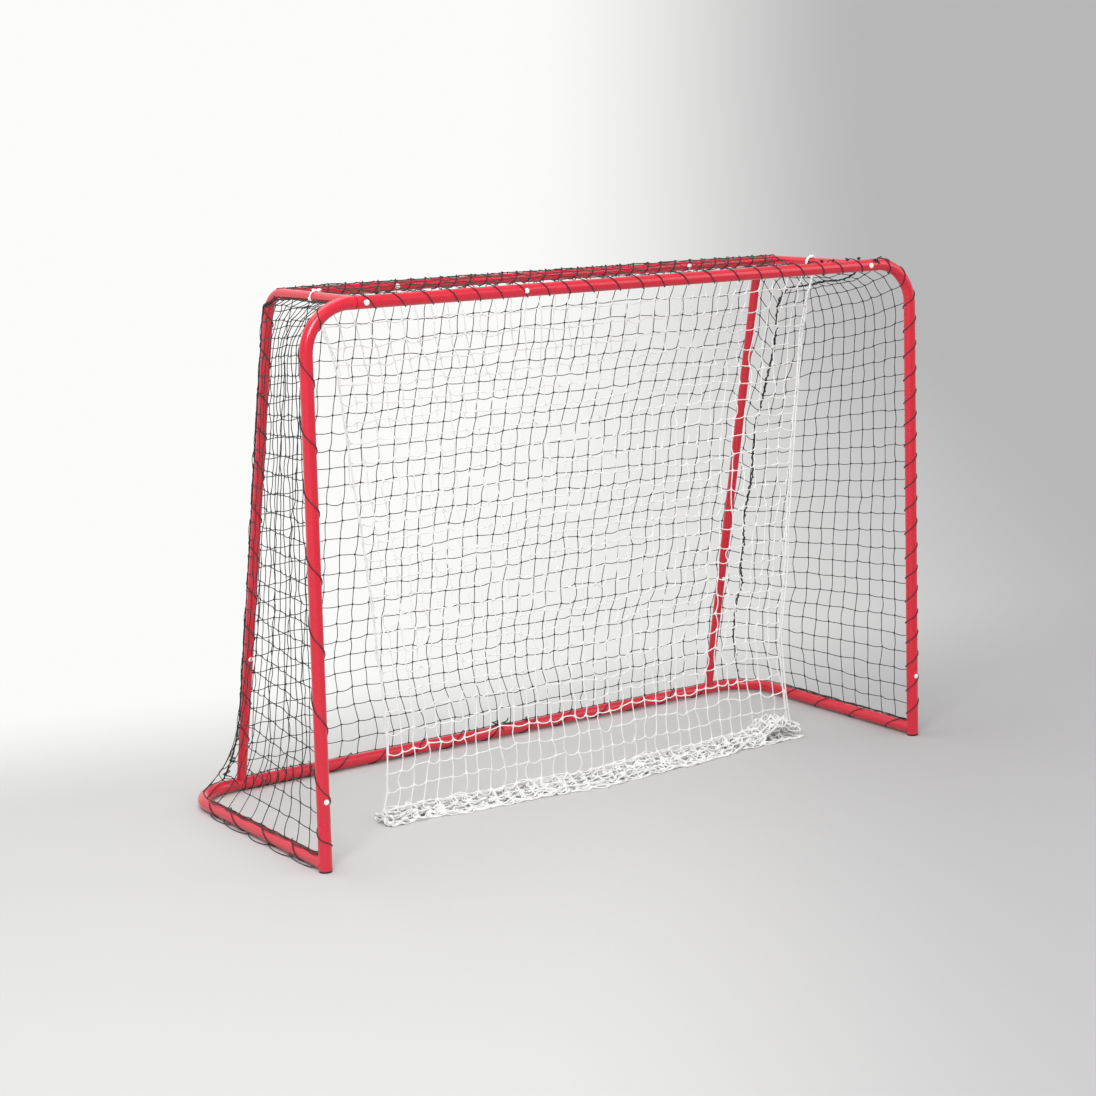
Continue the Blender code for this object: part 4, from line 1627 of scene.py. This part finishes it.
@dataclass
class Winding:
    """A lace wound round a tube and the net borders along it.

    Angles are in degrees. borders are the angles of the net borders, over which the lace
    lifts; start is the angle at which each turn starts, and rush how much more of its way
    the lace gains there.
    """

    route: Route
    first: float
    pitches: Sequence[float]
    tube_r: float
    borders: Sequence[float]
    hand: int = 1
    start: float = 0.0
    rush: float = 0.0
    lift: float = 0.0040
    lift_width: float = 24.0
    shake: float = 0.0006
    steps: int = 16
    seed: int = 1

    def line(self) -> list[Vector]:
        """The lace's centreline.

        Returns:
            The centreline's points.
        """
        rng = np.random.default_rng(self.seed)
        points = []
        s = self.first
        clear = self.tube_r + LACE_R + GAP
        for pitch in self.pitches:
            for k in range(self.steps):
                turn = k / self.steps
                angle = self.start + self.hand * 360 * turn
                gain = turn + self.rush * math.sin(2 * math.pi * turn) / (2 * math.pi)
                off = min(abs((angle - b + 180) % 360 - 180) for b in self.borders)
                radius = clear + self.lift * math.exp(-((off / self.lift_width) ** 2))
                shake = rng.normal(0, self.shake)
                points.append(self.route.off(s + pitch * gain + shake, angle, radius))
            s += pitch
        return points


@dataclass
class Lacing:
    """All black lacing: on the front frame, the base, the rear bar and the left leg.

    left_post_turns are the heights at which the left post's lace crosses its front. Each
    tuft is a place, a size and a seed.
    """

    finishes: Finishes
    guard: TubeGuard
    half: float = 0.69
    crossbar_pitch: float = 0.063
    left_post_turns: tuple[float, ...] = (0.063, 0.134, 0.271, 0.435, 0.587, 0.731,
                                          0.862, 0.988, 1.135, 1.214)
    right_post_pitch: float = 0.056
    base_length: float = 0.50
    base_pitch: float = 0.115
    rear_open: float = 1.19
    rear_pitch: float = 0.105
    rear_dense: float = 0.19
    dense_pitch: float = 0.021
    rear_bar_length: float = 1.30
    rear_bar_pitch: float = 0.041
    leg_start: float = 0.42
    leg_end: float = 0.06
    leg_pitch: float = 0.088
    tangle_points: int = 44
    tangle_turns: float = 2.5
    loop_count: int = 5
    loop_points: int = 17
    loop_start: float = 0.03
    loop_gap: float = 0.098
    loop_lengths: tuple[float, float] = (0.09, 0.13)
    loop_reaches: tuple[float, float] = (0.001, 0.006)
    loop_lift: float = 0.004
    strand_points: int = 120
    strand_span: tuple[float, float] = (0.020, 0.520)
    strand_angle: float = 72.0
    strand_lift: float = 0.0034
    strand_ripple: float = 0.0012
    post_start: float = 0.045
    post_rest: float = 0.06
    bar_start: float = 0.030

    crossbar_tufts = (((0.699, -0.010, BAR_Z + 0.010), 0.0062, 3),
                      ((0.730, 0.010, BAR_Z + 0.014), 0.0045, 8),
                      ((-0.640, 0.012, BAR_Z + 0.016), 0.0040, 9),
                      ((0.505, 0.006, BAR_Z + 0.017), 0.0030, 10),
                      ((0.545, 0.006, BAR_Z + 0.017), 0.0030, 11),
                      ((0.580, 0.006, BAR_Z + 0.017), 0.0030, 12),
                      ((0.622, 0.006, BAR_Z + 0.017), 0.0030, 13),
                      ((0.660, 0.006, BAR_Z + 0.017), 0.0030, 14))
    rear_tufts = (((0.016, 0.650, 0.037), 0.0100, 4), ((0.048, 0.652, 0.036), 0.0085, 5),
                  ((-0.045, 0.645, 0.034), 0.0045, 6), ((0.105, 0.648, 0.035), 0.0050, 7),
                  ((-0.712, 0.654, 0.044), 0.0080, 8), ((-0.702, 0.645, 0.078), 0.0055, 9))

    def show(self, name: str, lines: Iterable[Sequence[Vector]], replaces: Sequence[str],
             ) -> None:
        """Publishes laces as one piece, clear of the tubes.

        Args:
            name: the piece's name.
            lines: the laces' centrelines.
            replaces: the CAD nodes that it stands for.
        """
        runs = [plain_run(line) for line in lines]
        for run in runs:
            run.points = self.guard.clear(run.points, LACE_R)
        publish(name, cord_mesh(runs, LACE_R, LACE_SIDES), self.finishes.lace,
                replaces=replaces)

    def tangle(self, centre: Sequence[float], size: float, seed: int) -> list[Vector]:
        """A loose overhand knot with its tail, as a line.

        Args:
            centre: the knot's middle.
            size: its radius.
            seed: the seed of its shape.

        Returns:
            The line's points.
        """
        rng = np.random.default_rng(seed)
        phase = rng.uniform(0, 2 * math.pi, 3)
        points = []
        for k in range(self.tangle_points):
            t = k / (self.tangle_points - 1) * 2 * math.pi * self.tangle_turns
            turn = Vector((math.sin(2 * t + phase[0]), math.cos(3 * t + phase[1]) * 0.8,
                           math.sin(t + phase[2]) * 0.8))
            points.append(Vector(centre) + size * turn)
        tail = points[-1]
        drop = Vector(rng.normal(0, 0.3, 3)) + Vector((0.4, -0.2, -0.6))
        points += [tail + drop * size * 0.6 * k for k in range(1, 6)]
        return points

    def jittered(self, total: float, pitch: float, spread: float, seed: int) -> list[float]:
        """Pitches that add up to the total, each a little different.

        Args:
            total: what the pitches add up to.
            pitch: the usual pitch.
            spread: by what share one may be off.
            seed: the seed of the differences.

        Returns:
            The pitches.
        """
        rng = np.random.default_rng(seed)
        count = round(total / pitch)
        raw = rng.uniform(1 - spread, 1 + spread, count)
        return list(raw * total / raw.sum())

    def crossbar(self) -> None:
        """The lace along the crossbar, from joint to joint."""
        pitches = self.jittered(2 * self.half, self.crossbar_pitch, spread=0.18, seed=5)
        wound = Winding(FRONT, FRONT.length / 2 - self.half, pitches, FRAME_R, [22.0],
                        hand=-1, start=22.0, seed=5)
        knots = [self.tangle(*tuft) for tuft in self.crossbar_tufts]
        self.show("lace_crossbar", [wound.line(), *knots], ["crossbar_lacing"])

    def posts(self) -> None:
        """The laces up the posts and round their elbows."""
        z = self.left_post_turns
        first = z[0] - FOOT_FLANGE - (z[1] - z[0]) / 2
        pitches = [b - a for a, b in zip(z, z[1:])]
        left = Winding(FRONT, first, pitches, FRAME_R, [90.0], start=90.0, rush=0.35,
                       seed=6)
        self.show("lace_post_left", [left.line()], ["post_lacing_left"])
        total = FRONT.length / 2 - CROSSBAR_HALF - self.post_rest
        pitches = self.jittered(total, self.right_post_pitch, spread=0.14, seed=7)
        right = Winding(FRONT, self.post_start, pitches, FRAME_R, [90.0], start=90.0, rush=-0.3,
                        seed=7)
        self.show("lace_post_right", [mirrored(right.line(), -1)], ["post_lacing_right"])

    def base(self) -> None:
        """The laces along the base bars; they pass under the bars on the floor."""
        for side in Side:
            seed = 12 + side.value
            pitches = self.jittered(self.base_length, self.base_pitch, spread=0.3,
                                    seed=seed)
            wound = Winding(BASE, self.bar_start, pitches, FRAME_R, [84.0], start=84.0,
                            rush=0.4, seed=seed)
            self.show(f"lace_base_{side.word}",
                      [mirrored(wound.line(), side.value), *self.floor_loops(side),
                       *self.top_strands(side)], [f"base_lacing_{side.word}"])
        pitches = self.jittered(self.rear_open, self.rear_pitch, spread=0.25, seed=14)
        pitches += self.jittered(self.rear_dense, self.dense_pitch, spread=0.2, seed=15)
        wound = Winding(BASE, BASE.length / 2 - self.half, pitches, FRAME_R, [60.0],
                        start=60.0, seed=14)
        knots = [self.tangle(*tuft) for tuft in self.rear_tufts]
        self.show("lace_base_rear", [wound.line(), *knots], ["base_lacing_rear"])

    def floor_loops(self, side: Side) -> list[list[Vector]]:
        """Slack loops of lace that lie on the floor along a base bar.

        Args:
            side: the goal's side.

        Returns:
            A line of points for each loop.
        """
        loops = []
        rng = np.random.default_rng(40 + side.value)
        for k in range(self.loop_count):
            y = self.loop_start + self.loop_gap * k + rng.normal(0, 0.006)
            length, reach = rng.uniform(*self.loop_lengths), rng.uniform(*self.loop_reaches)
            loop = []
            for t in np.linspace(0, 1, self.loop_points):
                swing = math.sin(math.pi * t) ** 0.6
                out = POST_X + FRAME_R * 0.7 + (FRAME_R * 0.3 + reach) * swing
                loop.append(Vector((side.value * out, y + length * t,
                                    LACE_R + self.loop_lift * (1 - swing))))
            loops.append(loop)
        return loops

    def top_strands(self, side: Side) -> list[list[Vector]]:
        """Two strands of lace that run along a base bar's top, over the net's border.

        Args:
            side: the goal's side.

        Returns:
            A line of points for each strand.
        """
        strands = []
        for k in range(2):
            strand = []
            for s in np.linspace(*self.strand_span, self.strand_points):
                angle = (self.strand_angle + 11 * math.sin(42 * s + 2.4 * k)
                         + 5 * math.sin(97 * s + k))
                lift = (FRAME_R + self.strand_lift
                        + self.strand_ripple * math.sin(63 * s + 1.9 * k))
                strand.append(BASE.off(s, angle, lift))
            strands.append(mirrored(strand, side.value))
        return strands

    def rear_bar(self) -> None:
        """The dense lace along the rear top bar."""
        bar = Route([Vector((SUPPORT_X, REAR_BAR_DEPTH, BAR_Z)),
                     Vector((0, REAR_BAR_DEPTH, BAR_Z)),
                     Vector((-SUPPORT_X, REAR_BAR_DEPTH, BAR_Z))], 0.0, UP)
        pitches = self.jittered(self.rear_bar_length, self.rear_bar_pitch, spread=0.12,
                                seed=16)
        wound = Winding(bar, self.bar_start, pitches, SUPPORT_R, [75.0, 105.0],
                        start=90.0, seed=16)
        self.show("lace_rear_bar", [wound.line()], ["rear_bar_lacing"])

    def left_leg(self) -> None:
        """The lace that holds the net's seam to the left leg."""
        route = support_route(Side.LEFT)
        length = route.length - self.leg_start - self.leg_end
        pitches = self.jittered(length, self.leg_pitch, spread=0.25, seed=18)
        wound = Winding(route, self.leg_start, pitches, SUPPORT_R, [90.0], start=60.0,
                        lift=0.003, seed=18)
        self.show("lace_leg_left", [wound.line()], [])

    def build(self) -> None:
        """Winds every lace."""
        self.crossbar()
        self.posts()
        self.base()
        self.rear_bar()
        self.left_leg()


@dataclass
class DropNet:
    """The white net that hangs inside the goal and catches the ball.

    heap_layers are the seeds of the heap's layers. edge_knots are each edge's heights
    and places across, and folds the heap's depths and heights from its free edge up.
    Each edge cord is its side, how far it lies outside the edge, and a seed.
    """

    finishes: Finishes
    guard: TubeGuard
    across: int = 34
    rows_hung: int = 26
    rows_heaped: int = 10
    twine: float = 0.0025
    knot: float = 0.0046
    edge_width: float = 1.65
    heap_fullness: float = 1.3
    heap_layers: tuple[int, ...] = (52, 53, 54)
    lift_off: float = 0.030
    wave: float = 0.010
    ripple: float = 0.004
    sink: float = 0.006
    drift: float = 0.018
    heap_points: int = 8
    hung_points: int = 62
    edge_sway: float = 0.003
    cord_points: int = 40
    cord_sag: float = 0.0012
    cord_pitch: float = 0.0042
    turn_points: int = 16
    knot_points: int = 30
    knot_off: float = 0.006
    knot_r: float = 0.003
    lump_place: float = 0.965
    lump_width: float = 0.040
    lump_height: float = 0.044
    cord_r: float = 0.002

    edge_cords = ((Side.LEFT, 0.002, 2), (Side.RIGHT, 0.001, 3), (Side.RIGHT, 0.009, 5))

    edge_knots = {
        Side.LEFT: [(0.000, -0.560), (0.060, -0.546), (0.190, -0.541), (0.440, -0.563),
                    (0.640, -0.586), (0.830, -0.611), (1.000, -0.635), (1.080, -0.656),
                    (1.150, -0.687)],
        Side.RIGHT: [(0.000, 0.590), (0.050, 0.579), (0.116, 0.568), (0.244, 0.557),
                     (0.440, 0.580), (0.638, 0.596), (0.833, 0.618), (1.000, 0.637),
                     (1.076, 0.657), (1.150, 0.687)],
    }
    folds = ((-0.046, 0.003), (-0.016, 0.006), (0.022, 0.004), (0.032, 0.008),
             (-0.006, 0.011), (-0.038, 0.008), (-0.022, 0.014), (0.018, 0.013),
             (0.006, 0.020), (-0.020, 0.018), (0.000, 0.030))

    def width_at(self, z: float, u: float) -> float:
        """The place across the net at a height, for a share u from left to right."""
        ends = [np.interp(z, *zip(*self.edge_knots[side])) for side in Side]
        return mix(ends[0], ends[1], u)

    def hung(self, u: float, v: float) -> Vector:
        """The hanging part: v runs up from the heap to the cord.

        Args:
            u: the share from left to right.
            v: the share from bottom to top.

        Returns:
            The net's point.
        """
        calm = 1 - v
        z = mix(self.lift_off, HINGE_Z - 0.004, v)
        y = (self.wave * calm * math.sin(7.5 * u + 1.3)
             + self.ripple * math.sin(23 * u) * calm)
        sink = self.sink * math.sin(math.pi * v) * math.sin(9 * u + 14 * v)
        return Vector((self.width_at(z, u), DROP_DEPTH + y, z - sink))

    def heaped(self, u: float, v: float) -> Vector:
        """The part heaped on the floor: v runs from its free edge up to the heap's top.

        Args:
            u: the share from left to right.
            v: the share from bottom to top.

        Returns:
            The net's point.
        """
        row = v * self.rows_heaped
        i = min(int(row), len(self.folds) - 2)
        y = mix(self.folds[i][0], self.folds[i + 1][0], row - i)
        z = mix(self.folds[i][1], self.folds[i + 1][1], row - i)
        top = self.hung(u, 0.0)
        near = math.exp(-(((u - self.lump_place) / self.lump_width) ** 2))
        lump = near * self.lump_height * math.sin(math.pi * v)
        drift = self.drift * math.cos(5.2 * u) * (1 - v)
        x = self.width_at(z * (1 - v), u)
        return Vector((mix(x, top.x, v), top.y + y + drift, z + lump))

    def edge(self, side: Side, offset: float, seed: int) -> list[Vector]:
        """The thicker cord down one edge of the net.

        Args:
            side: the edge's side.
            offset: how far out of the edge it lies.
            seed: the seed of its sway.

        Returns:
            The cord's points.
        """
        u = 0.5 + 0.5 * side.value
        line = [self.heaped(u, 0.5 + 0.5 * k / self.heap_points)
                for k in range(self.heap_points)]
        line += [self.hung(u, k / (self.hung_points - 1)) for k in range(self.hung_points)]
        last = len(line) - 1
        for k, p in enumerate(line):
            sway = noise.noise_vector(Vector((seed, 0, p.z * 9))) * self.edge_sway
            out = Vector((side.value * offset, 0, 0))
            line[k] = p + (sway + out) * min(1, (last - k) / 8)
        return line

    def show(self, name: str, runs: Sequence[Run], replaces: Sequence[str]) -> None:
        """Publishes white twine as one piece, clear of the floor.

        Args:
            name: the piece's name.
            runs: the lengths of twine.
            replaces: the CAD nodes that it stands for.
        """
        for run in runs:
            run.points[:, 2] = np.maximum(run.points[:, 2],
                                          run.widths * self.twine / 2 + GAP)
        publish(name, cord_mesh(runs, self.twine / 2, TWINE_SIDES),
                self.finishes.white_net, Body.DROP_NET, replaces)

    def net(self) -> None:
        """Hangs the net with its edge cords."""
        hung = KnottedNet(self.across, self.rows_hung, self.hung, None, seed=51,
                          twine=self.twine, knot=self.knot, slack=0.0050, wander=0.010,
                          flutter=0.0022, free_borders=(True, True, False, False))
        runs = hung.runs()
        for edge_cord in self.edge_cords:
            run = plain_run(self.edge(*edge_cord))
            run.widths *= self.edge_width
            runs.append(run)
        self.show("white_drop_net", runs, ["drop_net"])

    def heap(self) -> None:
        """Heaps the net's spare length on the floor, in layers."""
        runs = []
        for seed in self.heap_layers:
            layer = KnottedNet(self.across, self.rows_heaped, self.heaped, None, seed=seed,
                               twine=self.twine, knot=self.knot * 1.1, slack=0.010,
                               wander=0.010, flutter=0.0040,
                               free_borders=(True, True, True, False))
            for run in layer.runs():
                run.widths *= self.heap_fullness
                runs.append(run)
        self.show("white_drop_net_heap", runs, [])

    def cord(self) -> None:
        """Strings the cord between the supports, knotted round each."""
        lines = [[Vector((x, DROP_DEPTH,
                          HINGE_Z - self.cord_sag * (1 - (x / SUPPORT_X) ** 2)))
                  for x in np.linspace(-SUPPORT_X, SUPPORT_X, self.cord_points)]]
        for side in Side:
            x = side.value * SUPPORT_X
            turns = 2 if side is Side.RIGHT else 1
            loop = []
            for k in range(turns * self.turn_points + 5):
                a = math.radians(-90 + side.value * 360 / self.turn_points * k)
                reach = SUPPORT_R + self.cord_r + GAP
                loop.append(Vector((x + reach * math.cos(a),
                                    DROP_DEPTH + self.cord_pitch * k / self.turn_points * 1.2,
                                    BAR_Z + reach * math.sin(a))))
            lines.append(loop)
            knot = []
            size = self.knot_r
            for k in range(self.knot_points):
                t = k / (self.knot_points - 1) * 2 * math.pi * 2
                knot.append(Vector((x - side.value * self.knot_off + size * math.sin(2 * t),
                                    DROP_DEPTH - 0.004 + size * math.cos(3 * t),
                                    BAR_Z + SUPPORT_R + size + 0.002 * math.sin(t))))
            tail = knot[-1]
            knot += [tail + Vector((side.value * 0.002, 0.003, 0.0004)) * k
                     for k in range(1, 5)]
            lines.append(knot)
        runs = [plain_run(line) for line in lines]
        for run in runs[1:]:
            run.points = self.guard.clear(run.points, self.cord_r)
        publish("white_hanging_cord", cord_mesh(runs, self.cord_r, LACE_SIDES),
                self.finishes.white_net, replaces=["drop_net_cord"])

    def build(self) -> None:
        """Makes the drop net and its cord."""
        self.cord()
        self.net()
        self.heap()


@dataclass
class Studio:
    """The paper sweep, the lamps and the camera.

    Each lamp is its name, its place, the point it lights, its side and its power.
    """

    finishes: Finishes
    sweep_half: float = 14.0
    sweep_front: float = -9.0
    sweep_back: float = 7.0
    sweep_radius: float = 3.0
    wall_height: float = 6.0
    room_light: float = 0.60
    far_room: Colour = (0.9, 0.9, 0.9)
    azimuth: float = 36.5905
    elevation: float = 6.9495
    roll: float = -1.1491
    camera_place: tuple[float, float, float] = (-3.0230, -4.1863, 1.5358)
    focal_pixels: float = 2352.57
    middle_pixels: tuple[float, float] = (120.0, -150.0)
    picture_pixels: float = 1096.0
    sensor_width: float = 36.0

    lamps = (("key", (-3.4, -3.6, 3.8), (0.0, 0.0, 0.5), 2.2, 188.0),
             ("fill", (3.6, -3.2, 2.6), (0.0, 0.2, 0.5), 3.0, 45.0),
             ("top", (-1.0, 1.0, 4.4), (0.0, 0.4, 0.0), 3.4, 85.0))

    def sweep(self) -> None:
        """Floor and backdrop in one sheet of paper, curved where they meet."""
        bm = bmesh.new()
        start = [bm.verts.new((x, self.sweep_front, 0))
                 for x in (-self.sweep_half, self.sweep_half)]
        verts, line = extruded(bm, [bm.edges.new(start)],
                               BACK * (self.sweep_back - self.sweep_front))
        centre = Vector((0, self.sweep_back, self.sweep_radius))
        made = bmesh.ops.spin(bm, geom=line + verts, cent=centre, axis=ACROSS,
                              angle=math.pi / 2, steps=24, use_duplicate=False)
        line = [item for item in made["geom_last"] if isinstance(item, BMEdge)]
        extruded(bm, line, UP * self.wall_height)
        mesh = mesh_of(bm, "studio_sweep")
        mesh.shade_smooth()
        mesh.materials.append(self.finishes.paper)
        placed("studio_sweep", mesh)

    def lamp(self, name: str, place: Sequence[float], aim: Sequence[float], size: float,
             power: float) -> None:
        """Hangs a square soft box.

        Args:
            name: the lamp's name.
            place: where it hangs.
            aim: the point that it lights.
            size: the length of its sides.
            power: its power in watts.
        """
        data = bpy.data.lights.new(name, "AREA")
        data.shape = "SQUARE"
        data.size = size
        data.energy = power
        lamp = placed(name, data)
        lamp.location = place
        lamp.rotation_mode = "QUATERNION"
        lamp.rotation_quaternion = (Vector(aim) - Vector(place)).to_track_quat("-Z", "Y")

    def lights(self) -> None:
        """A large key from the front left, a soft fill, a top light and an even room."""
        for lamp in self.lamps:
            self.lamp(*lamp)
        s = Shader("studio", world=True)
        room = s.node("ShaderNodeBackground", {},
                      {"Color": (1, 1, 1, 1), "Strength": self.room_light})
        shown = s.node("ShaderNodeBackground", {}, {"Color": (*self.far_room, 1)})
        camera_ray = s.node("ShaderNodeLightPath", output="Is Camera Ray")
        bpy.context.scene.world = s.finished(
            s.node("ShaderNodeMixShader", {}, {0: camera_ray, 1: room, 2: shown}))

    def camera(self) -> None:
        """The camera at the photograph's place and angle."""
        az, el, roll = (math.radians(a) for a in (self.azimuth, self.elevation, self.roll))
        ahead = Vector((math.sin(az) * math.cos(el), math.cos(az) * math.cos(el),
                        -math.sin(el)))
        right = ahead.cross(UP).normalized()
        up = right.cross(ahead)
        across = math.cos(roll) * right + math.sin(roll) * up
        upward = -math.sin(roll) * right + math.cos(roll) * up
        data = bpy.data.cameras.new("camera")
        data.sensor_width = self.sensor_width
        data.lens = self.focal_pixels / self.picture_pixels * self.sensor_width
        data.shift_x = -self.middle_pixels[0] / self.picture_pixels
        data.shift_y = self.middle_pixels[1] / self.picture_pixels
        camera = placed("camera", data)
        turn = Matrix((across, upward, -ahead)).transposed()
        camera.matrix_world = Matrix.Translation(
            Vector(self.camera_place) + Vector((0, GOAL_LINE, 0))) @ turn.to_4x4()
        bpy.context.scene.camera = camera

    def build(self) -> None:
        """Sets up the studio."""
        bpy.context.scene.view_settings.view_transform = "Standard"
        self.sweep()
        self.lights()
        self.camera()


def main() -> None:
    """Builds the goal's looks and the studio round it."""
    logging.basicConfig(level=logging.INFO, format="%(name)s %(message)s", force=True)
    noise.seed_set(NOISE_SEED)
    finishes = Finishes.build()
    guard = TubeGuard()
    Studio(finishes).build()
    FrameTubes(finishes).build()
    Fittings(finishes).build()
    BlackNets(finishes, guard).build()
    Lacing(finishes, guard).build()
    DropNet(finishes, guard).build()


if __name__ == "__main__":
    main()
